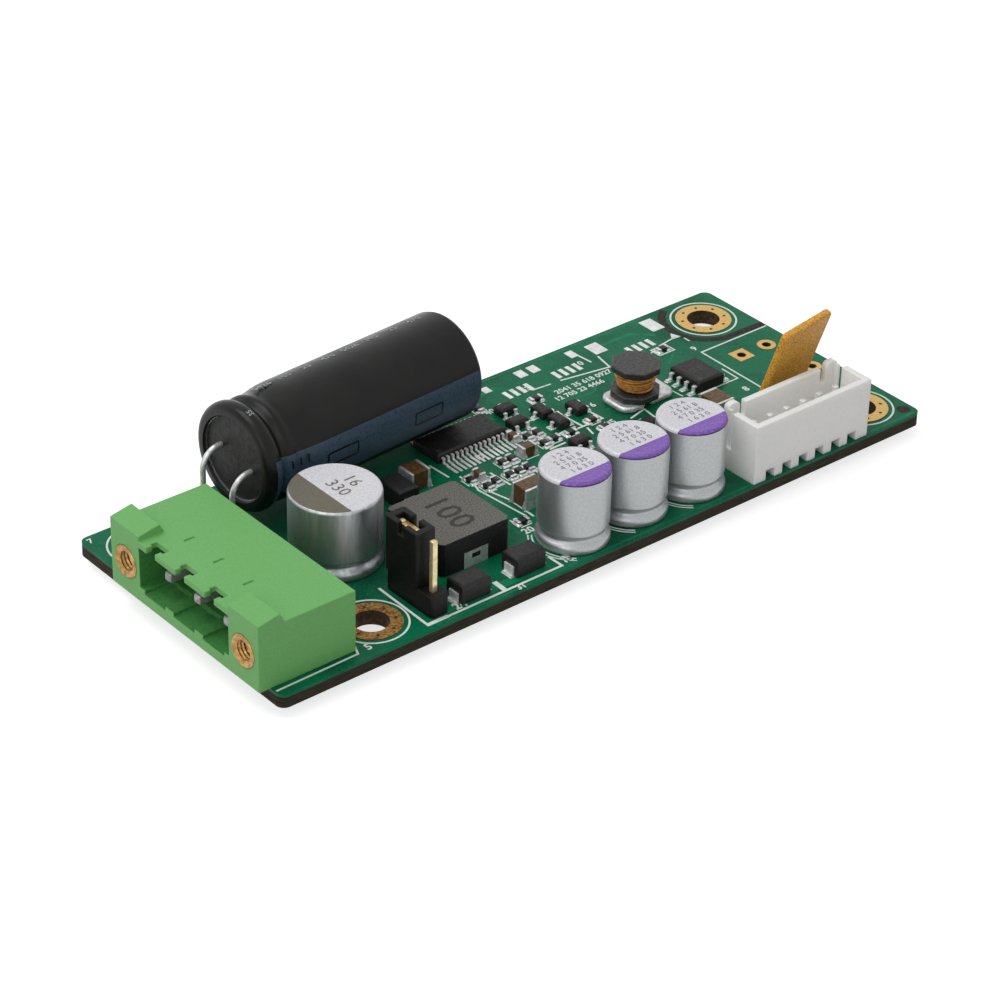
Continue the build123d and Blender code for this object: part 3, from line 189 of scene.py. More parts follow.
def spot(x, y, rise=0.0):
    """A place in mm from the board's front left corner and above its top."""
    return Vector((BOARD_LOW.x + x * MM, BOARD_LOW.y + y * MM, BOARD_TOP + rise * MM))


# Materials

def add(tree, kind, inputs=None, **settings):
    """Add a node, apply its settings, and set or link its inputs."""
    made = tree.nodes.new("ShaderNode" + kind)
    for name, value in settings.items():
        setattr(made, name, value)
    for name, value in (inputs or {}).items():
        if isinstance(value, bpy.types.NodeSocket):
            tree.links.new(value, made.inputs[name])
        else:
            made.inputs[name].default_value = value
    return made


def surface(name, first, second, grain, rough, bump=0.0, spread=(0.35, 0.65), stretch=(1, 1, 1),
            detail=3.0, rough_drift=0.08, fleck=None, **sockets):
    """A finish whose colour, gloss and relief drift over a grain in mm.

    A fleck is a second pattern, as its colour, lower and upper threshold and grain in mm.
    """
    made = bpy.data.materials.new(name)
    made.use_nodes = True
    tree = made.node_tree
    shader = tree.nodes["Principled BSDF"]
    place = add(tree, "TexCoord").outputs["Object"]
    place = add(tree, "Mapping", {"Vector": place, "Scale": stretch}).outputs[0]
    grit = add(tree, "TexNoise", {"Vector": place, "Scale": 1 / (grain * MM), "Detail": detail})
    level = add(tree, "MapRange", {"Value": grit.outputs[0], "From Min": spread[0], "From Max": spread[1]})
    base = add(tree, "Mix", {0: level.outputs[0], 6: first, 7: second}, data_type="RGBA").outputs[2]
    if fleck:
        colour, low, high, size = fleck
        specks = add(tree, "TexNoise", {"Vector": place, "Scale": 1 / (size * MM), "Detail": 2.0})
        level = add(tree, "MapRange", {"Value": specks.outputs[0], "From Min": low, "From Max": high})
        base = add(tree, "Mix", {0: level.outputs[0], 6: base, 7: tint(colour)}, data_type="RGBA").outputs[2]
    tree.links.new(base, shader.inputs["Base Color"])
    gloss = add(tree, "MapRange", {"Value": grit.outputs[0], "From Min": spread[0],
                                   "From Max": spread[1], "To Min": rough - rough_drift,
                                   "To Max": rough + rough_drift})
    tree.links.new(gloss.outputs[0], shader.inputs["Roughness"])
    if bump:
        relief = add(tree, "Bump", {"Height": grit.outputs[0], "Distance": bump * MM, "Strength": 1.0})
        tree.links.new(relief.outputs[0], shader.inputs["Normal"])
    for socket, value in sockets.items():
        shader.inputs[socket.replace("_", " ")].default_value = value
    return made


# Finishes, as the material's name, two colours that its grain runs between, the grain in mm, the
# roughness, and what else is set. A colour is an sRGB hex value or one of the colours above.
FINISHES = {
    # Lacquer on glass laminate: saturated green that darkens over bare laminate
    "solder_mask": ("solder_mask_lacquer", "mask", "#07523A", 6.0, 0.4,
        dict(fleck=("#1C815B", 0.55, 0.85, 0.3), bump=0.02, spread=(0.42, 0.68), detail=5.0,
             Specular_IOR_Level=0.1)),
    # Lacquer over a copper track: a lighter green line with the same gloss
    "covered_copper": ("mask_over_copper", "#18805A", "#126F4D", 1.5, 0.38, dict(Specular_IOR_Level=0.1)),
    # Sawn glass laminate: dark brown, dull, streaked along its layers
    "bare_laminate": ("sawn_glass_laminate", "laminate", "#231F17", 0.6, 0.8,
        dict(bump=0.05, stretch=(0.35, 0.35, 4.0), Specular_IOR_Level=0.2)),
    # Glass laminate without lacquer: brown grey, dull
    "bare_surface": ("unlacquered_laminate", "#393431", "#2C2825", 0.5, 0.7,
        dict(bump=0.02, Specular_IOR_Level=0.15)),
    # Screen-printed ink: off-white, matt, thin enough to break up a little
    "board_ink": ("screen_printed_ink", "silk", "#B9CCC0", 0.3, 0.6,
        dict(spread=(0.55, 0.78), Specular_IOR_Level=0.2)),
    # Immersion gold over nickel: pale yellow, soft gloss, faintly grained
    "gold_plate": ("immersion_gold", "gold", "#C79B4F", 0.3, 0.42,
        dict(bump=0.02, spread=(0.45, 0.8), Metallic=0.6)),
    # The same gold rubbed by a screw head: browner, speckled, duller
    "worn_gold": ("rubbed_gold", "#B98A48", "#5C3F20", 0.26, 0.6,
        dict(bump=0.04, spread=(0.38, 0.66), Metallic=0.35, Specular_IOR_Level=0.3)),
    # Plated hole wall: dark brown, dull
    "bore_plate": ("dull_plated_bore", "#55402A", "#362918", 0.5, 0.6,
        dict(bump=0.02, Metallic=0.2, Specular_IOR_Level=0.2)),
    # Reflowed solder: bright grey with soft ripples
    "tin": ("reflowed_tin", "#E2E2E1", "#B9BBBC", 0.6, 0.42, dict(bump=0.05, Metallic=0.65)),
    # Tin-plated legs: near white, satin
    "bright_tin": ("plated_bright_tin", "#F4F4F2", "#D9DADA", 0.8, 0.4, dict(bump=0.01, Metallic=0.3)),
    # Tin-plated strap darkened as painted shade of the socket's cavity: mid grey, dull
    "shade_dulled_tin": ("tin_painted_shade", "#B2B3B2", "#8E9090", 0.5, 0.5, dict(bump=0.02, Metallic=0.45)),
    # Moulded polyamide with a very fine spark-eroded grain: leaf green, half matt
    "green_nylon": ("grained_green_polyamide", "green", "#69AB60", 0.16, 0.55,
        dict(bump=0.015, spread=(0.35, 0.7), Specular_IOR_Level=0.35)),
    # The same polyamide inside the housing, where the mould is smooth: a deeper green that is painted shade
    # of the cavity
    "shade_painted_nylon": ("green_polyamide_painted_shade", "#4B8F4B", "#417F42", 0.4, 0.45,
        dict(Specular_IOR_Level=0.2)),
    # Turned brass: gold brown, bright on the edges
    "brass": ("turned_brass", "#C79C5C", "#9A7343", 0.5, 0.36, dict(bump=0.02, Metallic=0.75)),
    # Moulded natural polyamide: near white, slightly see-through at its edges
    "white_nylon": ("white_moulded_polyamide", "white", "#EFEEEA", 0.5, 0.45,
        dict(bump=0.01, spread=(0.45, 0.85), Subsurface_Weight=0.5, Subsurface_Scale=0.0015,
             Subsurface_Radius=(1.0, 1.0, 0.9))),
    # Drawn aluminium, lightly etched: silver with faint upright draw marks
    "can_aluminium": ("etched_drawn_aluminium", "#BFC2C4", "#A4A8AB", 0.5, 0.44,
        dict(bump=0.01, stretch=(1, 1, 0.15), Metallic=0.95)),
    # Lacquered aluminium can: mid grey, satin, with a very fine grain
    "coated_aluminium": ("lacquered_aluminium", "#B4B6B8", "#A9ACAE", 0.2, 0.4,
        dict(bump=0.004, rough_drift=0.03, Metallic=0.8)),
    # Lacquered can top: near white with a faint lilac cast, fine grain
    "can_top": ("pale_lacquer_top", "#E3E2E5", "#CFCED4", 0.25, 0.45,
        dict(bump=0.01, Metallic=0.15, Specular_IOR_Level=0.3)),
    # Pad-printed ink: mid purple, satin, lightly stippled
    "purple_ink": ("purple_pad_print", "purple", "#9C7CC9", 0.3, 0.5,
        dict(spread=(0.5, 0.78), Specular_IOR_Level=0.35)),
    # The same ink darkened below the top edge as painted shade on the rim: dark violet
    "purple_ink_painted_shade": ("purple_print_painted_shade", "#43305E", "#6A4F93", 0.3, 0.5,
        dict(spread=(0.45, 0.75), Specular_IOR_Level=0.25)),
    # Pad-printed ink: grey brown, satin, lightly stippled
    "taupe_ink": ("taupe_pad_print", "taupe", "#7A7467", 0.25, 0.5,
        dict(spread=(0.45, 0.8), Specular_IOR_Level=0.25)),
    # Pad-printed numerals: thin violet grey
    "grey_ink": ("violet_grey_print", "#6F6C88", "#908DA6", 0.3, 0.55, {}),
    # Pad-printed numerals: thin grey brown
    "dark_ink": ("dark_grey_print", "#5F5A54", "#7C776F", 0.3, 0.55, {}),
    # Heat-shrunk polyester film: near black, soft gloss, faintly rippled
    "shrink_film": ("heat_shrunk_film", "sleeve", "#151413", 4.0, 0.32,
        dict(bump=0.08, spread=(0.35, 0.7), Specular_IOR_Level=0.22)),
    # The film's printed stripe: slate blue, soft gloss, with a fine stipple
    "stripe_film": ("slate_stripe_film", "stripe", "#42566A", 0.3, 0.38,
        dict(bump=0.01, Specular_IOR_Level=0.25)),
    # Print on the film: thin grey white
    "film_print": ("grey_white_film_print", "#8F9A97", "#6A7472", 0.25, 0.5, {}),
    # Moulded butyl rubber: black, dull
    "rubber": ("black_butyl_rubber", "#100F0F", "#191817", 0.7, 0.5,
        dict(bump=0.05, Specular_IOR_Level=0.3)),
    # Wound foil and paper: pale grey edge lines
    "wound_foil": ("wound_foil_and_paper", "#B8B2A4", "#8F8A80", 0.4, 0.5, dict(stretch=(3, 3, 0.2))),
    # Moulded glass-filled polyester: deep black, fine dull grain
    "black_plastic": ("black_moulded_polyester", "#080807", "#12110F", 0.3, 0.5,
        dict(bump=0.02, Specular_IOR_Level=0.2)),
    # Plated spring bronze: pale gold strip
    "bronze": ("plated_spring_bronze", "#D8BC80", "#A98A50", 0.5, 0.32, dict(Metallic=0.9)),
    # Flash gold on a drawn pin: very pale yellow, bright
    "pin_gold": ("flash_gold_pin", "#EFE2B8", "#D3C08A", 0.8, 0.34, dict(Metallic=0.7)),
    # Pressed iron powder: near black, dull, lightly pitted
    "choke_side": ("pressed_iron_powder", "#1F1F20", "#141415", 0.3, 0.6,
        dict(bump=0.03, Specular_IOR_Level=0.25)),
    # Sprayed top of the pressed choke: grey with a dense dark speckle
    "choke_top": ("speckled_grey_spray", "#77756E", "#45433F", 0.15, 0.6,
        dict(bump=0.02, spread=(0.4, 0.66), Specular_IOR_Level=0.25)),
    # Mark on the sprayed choke: thin dark grey
    "choke_mark": ("dark_choke_mark", "#353431", "#4B4945", 0.2, 0.6, dict(Specular_IOR_Level=0.2)),
    # Ground ferrite: dark grey, half gloss, with small chips
    "ferrite": ("ground_ferrite", "#3E3E3D", "#262626", 0.35, 0.45, dict(bump=0.04, Specular_IOR_Level=0.4)),
    # Enamelled copper wire: orange brown, glossy, uneven from turn to turn
    "enamelled_copper": ("enamelled_copper_wire", "copper", "#9C5E27", 0.5, 0.38,
        dict(spread=(0.42, 0.72), Metallic=0.2, Specular_IOR_Level=0.4)),
    # Dipped epoxy coating: ochre with a dense fine speckle, satin
    "fuse_coating": ("dipped_ochre_epoxy", "fuse", "#AE7A31", 0.2, 0.5,
        dict(bump=0.05, spread=(0.36, 0.68), Specular_IOR_Level=0.25)),
    # Moulded chip compound: charcoal, fine dull grain
    "chip_black": ("moulded_chip_compound", "#232322", "#191919", 0.3, 0.5,
        dict(bump=0.02, Specular_IOR_Level=0.3)),
    # Laser mark on the chip compound: slightly paler charcoal
    "chip_print": ("laser_marked_compound", "#4C4C4A", "#3A3A39", 0.2, 0.6, dict(Specular_IOR_Level=0.25)),
    # Fired ceramic: tan brown, smooth, half gloss
    "ceramic": ("fired_brown_ceramic", "#6B4F2E", "#4B3520", 0.4, 0.4, dict(Specular_IOR_Level=0.3)),
    # Glazed resistor film: black, glossy
    "resistor_glaze": ("black_resistor_glaze", "#131314", "#1E1E20", 0.5, 0.35,
        dict(Specular_IOR_Level=0.3)),
}


def finish(name):
    """The material of a finish, made when it is first asked for."""
    label, first, second, grain, rough, settings = FINISHES[name]
    return bpy.data.materials.get(label) or surface(label, tint(first), tint(second), grain, rough,
                                                    **settings)


# Meshes

def piece(name, work, materials, slot, *nodes, smooth=35.0):
    """Make an object of a bmesh, let it ride on the board and stand for the named nodes."""
    mesh = bpy.data.meshes.new(name)
    work.to_mesh(mesh)
    work.free()
    made = bpy.data.objects.new(name, mesh)
    bpy.context.scene.collection.objects.link(made)
    for material in materials:
        mesh.materials.append(finish(material))
    if smooth:
        mesh.polygons.foreach_set("use_smooth", [True] * len(mesh.polygons))
        mesh.set_sharp_from_angle(angle=radians(smooth))
        weighted = made.modifiers.new("even_shading", "WEIGHTED_NORMAL")
        weighted.keep_sharp = True
    if nodes:
        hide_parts(*nodes)
    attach(made, "root")
    return made


def dress(material, *nodes):
    """Give CAD nodes a finish."""
    for node in nodes:
        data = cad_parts[node].data
        data.materials.clear()
        data.materials.append(finish(material))


def merged(node):
    """A node's mesh as a bmesh with its doubles merged and its flat faces joined."""
    work = bmesh.new()
    work.from_mesh(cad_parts[node].data)
    bmesh.ops.remove_doubles(work, verts=work.verts, dist=0.0005 * MM)
    bmesh.ops.dissolve_limit(work, angle_limit=radians(0.5), verts=work.verts, edges=work.edges)
    return work


def soften(work, width, segments=2, limit=30.0):
    """Round the edges that are sharper than the limit. The width is in metres."""
    sharp = [edge for edge in work.edges
             if len(edge.link_faces) == 2 and edge.calc_face_angle(0.0) > radians(limit)]
    bmesh.ops.bevel(work, geom=sharp, offset=width, offset_type="OFFSET", affect="EDGES",
                    segments=segments, profile=0.5, material=-1, clamp_overlap=True)
    return work


def islands(node, foot_only=False):
    """Boxes of a node's loose parts, or of what of them touches the board's top."""
    work = bmesh.new()
    work.from_mesh(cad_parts[node].data)
    bmesh.ops.remove_doubles(work, verts=work.verts, dist=0.0005 * MM)
    left = set(work.verts)
    boxes = []
    while left:
        reach = [left.pop()]
        group = list(reach)
        while reach:
            for edge in reach.pop().link_edges:
                for vert in edge.verts:
                    if vert in left:
                        left.remove(vert)
                        reach.append(vert)
                        group.append(vert)
        points = [vert.co for vert in group if not foot_only or vert.co.z < BOARD_TOP + 0.01 * MM]
        if points:
            boxes.append((Vector(map(min, zip(*points))), Vector(map(max, zip(*points)))))
    work.free()
    return boxes


def rounded(name, node, width, material, slot, segments=2):
    """A copy of a node with rounded edges, which stands for it."""
    piece(name, soften(merged(node), width, segments), [material], slot, node)


def disc(work, centre, radius, segments=12):
    """A flat disc with its radius in mm."""
    bmesh.ops.create_circle(work, cap_ends=True, segments=segments, radius=radius * MM,
                            matrix=Matrix.Translation(centre))


def slab(work, low, high):
    """A box between two corners."""
    size = Matrix.Diagonal((*(high - low), 1.0))
    return bmesh.ops.create_cube(work, size=1.0, matrix=Matrix.Translation((low + high) / 2) @ size)["verts"]


def bar(work, start, end, width, height, level=0.0):
    """A flat bar on the board between two places in mm, with a height in metres."""
    first, last = spot(*start, level), spot(*end, level)
    run = last - first
    turn = Matrix.Rotation(run.xy.angle_signed(Vector((1, 0)), 0.0) if run.length else 0.0, 4, "Z")
    size = Matrix.Diagonal((run.length + width * MM, width * MM, height, 1.0))
    middle = Matrix.Translation((first + last) / 2 + Vector((0, 0, height / 2)))
    bmesh.ops.create_cube(work, size=1.0, matrix=middle @ turn @ size)


def path(work, points, width, height):
    """Bars along a line of places in mm. Every second one is a little higher than its neighbours."""
    for index, (start, end) in enumerate(zip(points, points[1:])):
        bar(work, start, end, width, height * (1 + 0.2 * (index % 2)))


def sector(work, centre, radius, width, height, start, stop):
    """A flat arc on the board, with its radius and width in mm and its angles in degrees."""
    inner, outer, high = radius - width / 2, radius + width / 2, height / MM
    turned = Matrix.Translation(centre) @ Matrix.Rotation(radians(start), 4, "Z")
    fresh = lathe(work, [(inner, 0), (outer, 0), (outer, high), (inner, high)], turned, 24, closed=True,
                  angle=radians(stop - start))
    ends = {edge for vert in fresh for edge in vert.link_edges if edge.is_boundary}
    bmesh.ops.holes_fill(work, edges=list(ends))


def mound(work, low, high, spread, height):
    """A low heap of solder round a foot or an end block."""
    grown = Vector((spread, spread, 0))
    verts = slab(work, low - grown, Vector((high.x, high.y, low.z + height)) + grown)
    middle = (low + high) / 2
    upper = [vert for vert in verts if vert.co.z > low.z + height / 2]
    bmesh.ops.scale(work, verts=upper, space=Matrix.Translation(-middle),
                    vec=((high.x - low.x) / (high.x - low.x + 2 * spread),
                         (high.y - low.y) / (high.y - low.y + 2 * spread), 1.0))


def lathe(work, profile, place, steps=64, closed=False, angle=tau):
    """Spin a profile of radius and height in mm about the z axis and put it in its place."""
    before = set(work.verts)
    verts = [work.verts.new((radius * MM, 0.0, height * MM)) for radius, height in profile]
    edges = [work.edges.new(pair) for pair in zip(verts, verts[1:])]
    if closed:
        edges.append(work.edges.new((verts[-1], verts[0])))
    bmesh.ops.spin(work, geom=verts + edges, cent=(0, 0, 0), axis=(0, 0, 1), angle=angle, steps=steps,
                   use_merge=angle == tau)
    fresh = [vert for vert in work.verts if vert not in before]
    bmesh.ops.remove_doubles(work, verts=fresh, dist=0.0005 * MM)
    fresh = [vert for vert in work.verts if vert not in before]
    bmesh.ops.recalc_face_normals(work, faces=[face for face in work.faces
                                               if face.verts[0] not in before])
    bmesh.ops.transform(work, matrix=place, verts=fresh)
    return fresh


def ring(work, centre, inner, outer, height, steps=48):
    """A flat ring with its radii in mm and its height in metres."""
    high = height / MM
    lathe(work, [(inner, 0), (outer, 0), (outer, high), (inner, high)], Matrix.Translation(centre),
          steps, closed=True)


def numerals(work, words, height, place, weight=0.0):
    """Flat numerals in the plane of a place, with their height in mm and an added stroke weight."""
    curve = bpy.data.curves.new("numerals", "FONT")
    curve.body = words
    curve.align_x, curve.align_y = "CENTER", "CENTER"
    curve.resolution_u = 2
    curve.offset = weight
    holder = bpy.data.objects.new("numerals", curve)
    mesh = bpy.data.meshes.new_from_object(holder)
    scale = height * MM / 0.7
    mesh.transform(place @ Matrix.Diagonal((scale, scale, scale, 1.0)))
    work.from_mesh(mesh)
    bpy.data.objects.remove(holder)
    bpy.data.curves.remove(curve)
    bpy.data.meshes.remove(mesh)


def flat_bar(work, far, angle, across, tall, radius):
    """A flat mark for a drum, with its place as a distance in mm and an angle in degrees."""
    middle = Vector((-far, angle / 360 * tau * radius, 0.0)) * MM
    bmesh.ops.create_grid(work, x_segments=1, y_segments=1, size=0.5, matrix=Matrix.Translation(middle)
                          @ Matrix.Diagonal((across * MM, tall * MM, 1.0, 1.0)))


def split_ink(work, planes):
    """Cut a mesh along planes, so that a print's outline runs along edges."""
    for point, normal in planes:
        bmesh.ops.bisect_plane(work, geom=[*work.verts, *work.edges, *work.faces], dist=0.0001 * MM,
                               plane_co=point, plane_no=normal)


class CONVERTER_OT_board(bpy.types.Operator):
    """Dress the circuit board with its lacquer, rings, bare pads and prints"""
    bl_idname = "converter.board"
    bl_label = "Circuit board"

    def execute(self, context):
        ink = sizes().print_height
        work = merged("circuit_board")
        lacquered = BOARD_TOP - 0.35 * MM
        split_ink(work, [(Vector((0, 0, lacquered)), Vector((0, 0, 1)))])
        for face in work.faces:
            level = abs(face.normal.z) > 0.5 or face.calc_center_median().z > lacquered
            face.material_index = 0 if level else 1
        piece("board_laminate", work, ["solder_mask", "bare_laminate"], "board_green",
              "circuit_board", smooth=0)
        work = merged("mounting_rings")
        low, high = spot(10, 0, -3), spot(20, 10, 3)
        for face in work.faces:
            middle = face.calc_center_median()
            near = low.x < middle.x < high.x and middle.y < high.y
            face.material_index = 2 if abs(face.normal.z) < 0.5 else 1 if near else 0
        piece("plated_rings", work, ["gold_plate", "worn_gold", "bore_plate"], "gold_plate",
              "mounting_rings")
        centres = [(low + high) / 2 for low, high in islands("mounting_rings")]
        printed, holes = bmesh.new(), bmesh.new()
        for centre in centres:
            middle = Vector((centre.x, centre.y, BOARD_TOP))
            ring(printed, middle, *RING_PRINT, ink)
            for index in range(RING_VIAS):
                turn = tau * (index + 0.5) / RING_VIAS
                out = Vector((RING_VIA_REACH * cos(turn), RING_VIA_REACH * sin(turn), 0.09))
                disc(holes, middle + out * MM, 0.19)
        for number in (1, 2, 3):
            low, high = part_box(f"output_can_{number}")
            middle = Vector(((low.x + high.x) / 2, (low.y + high.y) / 2, BOARD_TOP))
            for radius in CAN_PRINT_RADII:
                sector(printed, middle, radius, 0.16, ink, *CAN_PRINT_ANGLES)
        for index, (width, points) in enumerate(PRINTED_LINES):
            path(printed, points, width, ink * (1 + 0.1 * (index % 3)))
        for node, beyond in (("resistor_bodies", 0.34), ("ceramic_bodies", 0.4)):
            for low, high in islands(node):
                if low.z - BOARD_TOP > 0.5 * MM:
                    continue
                low, high = (low - BOARD_LOW) / MM, (high - BOARD_LOW) / MM
                if high.x - low.x > high.y - low.y:
                    rows = [((low.x - 0.2, y), (high.x + 0.2, y)) for y in (low.y - beyond, high.y + beyond)]
                else:
                    rows = [((x, low.y - 0.2), (x, high.y + 0.2)) for x in (low.x - beyond, high.x + beyond)]
                for start, end in rows:
                    bar(printed, start, end, 0.15, 0.8 * ink)
        for words, height, x, y, turn in PRINTED_NUMERALS:
            numerals(printed, words, height, Matrix.Translation(spot(x, y, ink / MM))
                     @ Matrix.Rotation(radians(turn), 4, "Z"), 0.03)
        arrow = [spot(x, y, ink / MM) for x, y in ((79.55, 30.8), (78.7, 29.6), (80.05, 29.5))]
        bmesh.ops.contextual_create(printed, geom=[printed.verts.new(point) for point in arrow])
        piece("board_print", printed, ["board_ink"], None, smooth=0)
        tracks, band = bmesh.new(), bmesh.new()
        disc(band, spot(*DARK_SPOT, 0.2 * ink / MM), 0.8, 20)
        for width, points in TRACKS:
            path(tracks, points, width, 0.4 * ink)
        for x, y in VIAS:
            ring(tracks, spot(x, y), 0.14, 0.32, 0.5 * ink, 16)
            disc(holes, spot(x, y, 0.2 * ink / MM), 0.13)
        piece("covered_tracks", tracks, ["covered_copper"], "board_green", smooth=0)
        bores = bmesh.new()
        for low, high in islands("footprint_pads"):
            centre = (low + high) / 2
            if centre.z > BOARD_TOP - 0.5 * MM:
                ring(bores, Vector((centre.x, centre.y, BOARD_LOW.z)), 0.46, 0.545, BOARD_TOP - BOARD_LOW.z)
        piece("footprint_bores", bores, ["bore_plate"], "gold_plate")
        piece("ring_vias", holes, ["bore_plate"], "gold_plate", smooth=0)
        middle = max(centres, key=lambda centre: centre.x + centre.y)
        middle.z = BOARD_TOP
        sector(band, middle, BARE_BAND_RADIUS, BARE_BAND_WIDTH, 0.4 * ink, BARE_BAND_START, BARE_BAND_STOP)
        place = (middle - BOARD_LOW) / MM
        start = (place.x + BARE_BAND_RADIUS * cos(radians(BARE_BAND_STOP)),
                 place.y + BARE_BAND_RADIUS * sin(radians(BARE_BAND_STOP)))
        bar(band, start, BARE_BAND_END, BARE_BAND_WIDTH, 0.5 * ink)
        piece("unlacquered_band", band, ["bare_surface"], "board_green", smooth=0)
        dress("gold_plate", "footprint_pads")
        dress("bright_tin", "tinned_pads")
        dress("tin", "solder_joints")
        return {"FINISHED"}


class CONVERTER_OT_input_socket(bpy.types.Operator):
    """Dress the green input socket, its pins and its brass thread inserts"""
    bl_idname = "converter.input_socket"
    bl_label = "Input socket"

    def execute(self, context):
        work = merged("input_socket")
        low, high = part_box("input_socket")
        # Faces inside the cavity, within these insets, take the deeper green of painted shade
        inset, roof = Vector((0.4, 0.4, 0.4)) * MM, Vector((0.4, 0.4, 2.2)) * MM
        for face in work.faces:
            middle = face.calc_center_median()
            inside = all(a < b < c for a, b, c in zip(low + inset, middle, high - roof))
            face.material_index = 1 if inside else 0
        soften(work, sizes().moulded_edge)
        piece("green_housing", work, ["green_nylon", "shade_painted_nylon"], "green_plastic", "input_socket")
        # The input pins take tin darkened as painted shade of the housing's inside
        rounded("input_contacts", "input_pins", 0.6 * sizes().moulded_edge, "shade_dulled_tin", "tin")
        work = bmesh.new()
        for low, high in islands("input_inserts"):
            radius, run = (high.z - low.z) / 2 / MM, (high.x - low.x) / MM
            bore, pitch = 1.1, sizes().thread / MM
            profile = [(bore, run), (radius, run), (radius, 0.15), (radius - 0.15, 0.0), (bore + 0.4, 0.0)]
            depth = 0.25
            while depth + pitch < run:
                profile += [(bore, depth), (bore, depth + 0.1), (bore + 0.16, depth + pitch / 2)]
                depth += pitch
            middle = Vector((low.x, (low.y + high.y) / 2, (low.z + high.z) / 2))
            lathe(work, profile, Matrix.Translation(middle) @ Matrix.Rotation(pi / 2, 4, "Y"), 48,
                  closed=True)
        piece("threaded_inserts", work, ["brass"], "brass_insert", "input_inserts")
        return {"FINISHED"}


class CONVERTER_OT_output_socket(bpy.types.Operator):
    """Dress the white output socket and its pins"""
    bl_idname = "converter.output_socket"
    bl_label = "Output socket"

    def execute(self, context):
        edge = sizes().moulded_edge
        rounded("white_housing", "output_socket", edge, "white_nylon", "white_plastic")
        rounded("output_contacts", "output_pins", 0.6 * edge, "bright_tin", "tin")
        return {"FINISHED"}


class CONVERTER_OT_bulk_capacitor(bpy.types.Operator):
    """Build the lying capacitor's sleeve, can and bung"""
    bl_idname = "converter.bulk_capacitor"
    bl_label = "Bulk capacitor"

    turn: bpy.props.FloatProperty(name="Turn", description="Turn of its axis in plan",
                                  subtype="ANGLE", default=radians(4.0))
    run: length("Length", "Length of the can", 30.3)

    def execute(self, context):
        low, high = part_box("bulk_can")
        radius = (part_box("bulk_sleeve")[1].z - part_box("bulk_sleeve")[0].z) / 2 / MM
        along = Vector((cos(self.turn), sin(self.turn), 0))
        near = (low + high) / 2 - along * self.run / 2
        # The profile's height runs along the axis from the bung end
        front, up = Vector((sin(self.turn), -cos(self.turn), 0)), Vector((0, 0, 1))
        place = Matrix.Translation(near) @ Matrix((front, -up, along)).transposed().to_4x4()
        long = self.run / MM
        film = [(radius - 1.5, long + 0.2), (radius - 0.8, long + 0.2), (radius - 0.4, long + 0.1),
                (radius - 0.12, long - 0.15), (radius, long - 0.5), (radius, 7.4),
                (radius - 0.03, 6.6), (radius - 0.14, 5.6), (radius - 0.3, 4.7), (radius - 0.4, 4.1),
                (radius - 0.36, 3.75), (radius - 0.26, 3.4), (radius - 0.28, 3.05),
                (radius - 0.44, 2.75), (radius - 0.72, 2.5), (radius - 0.82, 2.3),
                (radius - 0.74, 2.05), (radius - 0.42, 1.8), (radius - 0.14, 1.5), (radius - 0.02, 1.15),
                (radius, 0.8), (radius - 0.06, 0.4), (radius - 0.24, 0.08), (radius - 0.5, -0.12),
                (radius - 0.8, -0.2), (radius - 1.3, -0.2)]
        inner = [(max(across - 0.18, radius - 1.5), min(max(deep, 0.0), long))
                 for across, deep in reversed(film)]
        work = bmesh.new()
        lathe(work, film + inner, place, 96, closed=True)
        head, foot = sizes().stripe_high, sizes().stripe_low
        edges = [(near, up * cos(angle) - front * sin(angle)) for angle in (head, foot)]
        split_ink(work, edges)
        for face in work.faces:
            offset = face.calc_center_median() - near
            outward = offset - along * offset.dot(along)
            above, forward = outward.dot(up), outward.dot(front)
            inside = forward > 0 and foot < Vector((forward, above)).angle_signed(Vector((1, 0)), 0) < head
            face.material_index = 1 if inside and offset.dot(along) > 0.9 * MM else 0
        piece("shrink_sleeve", work, ["shrink_film", "stripe_film"], "sleeve", "bulk_sleeve")
        marks, figures = bmesh.new(), bmesh.new()
        for far, wide in STRIPE_BOXES:
            for up_by, length_of in ((2.0, wide), (-12.0, wide)):
                flat_bar(marks, far, up_by, length_of, 0.2, radius)
            for side in (-wide / 2, wide / 2):
                flat_bar(marks, far + side, -5.0, 0.2, 13.0 / 360 * tau * radius, radius)
        for far in STRIPE_TICKS:
            flat_bar(marks, far, 8.0, 0.25, 0.9, radius)
        self.wrap(marks, place, radius, long)
        piece("stripe_marks", marks, ["shrink_film"], None, smooth=0)
        for index, words in enumerate(SLEEVE_NUMERALS):
            numerals(figures, words, 0.85, Matrix.Translation(
                Vector((-(3.2 + 3.1 * index), 106.0 / 360 * tau * radius, 0.0)) * MM), 0.03)
        numerals(figures, "35", 0.6, Matrix.Translation(
            Vector((-(long - 0.95), 74.0 / 360 * tau * radius, 0.0)) * MM)
            @ Matrix.Rotation(radians(90), 4, "Z"), 0.03)
        self.wrap(figures, place, radius, long)
        piece("sleeve_figures", figures, ["film_print"], None, smooth=0)
        work = bmesh.new()
        can = [(across, deep) for across, deep in inner[1:-1]]
        lathe(work, [(0, long)] + [(a - 0.02, d) for a, d in reversed(can)] + [(radius - 1.5, 0.1),
              (radius - 1.5, 3.0), (radius - 1.5, 4.0), (radius - 0.6, 4.4), (radius - 0.6, long - 0.4),
              (0, long - 0.4)], place, 96)
        piece("bulk_aluminium", work, ["can_aluminium"], "aluminium", "bulk_can")
        dress("rubber", "bulk_bung")
        dress("wound_foil", "bulk_roll")
        dress("tin", "bulk_leads")
        return {"FINISHED"}

    def wrap(self, work, place, radius, long):
        """Bend flat marks round the sleeve. Their x runs from its far end, their y along its arc."""
        split_ink(work, [(Vector((0, step * radius * MM * radians(4), 0)), Vector((0, 1, 0)))
                         for step in range(-9, 32)])
        for vert in work.verts:
            angle = vert.co.y / (radius * MM)
            reach = (radius + 0.02) * MM
            vert.co = place @ Vector((reach * cos(angle), -reach * sin(angle), long * MM + vert.co.x))


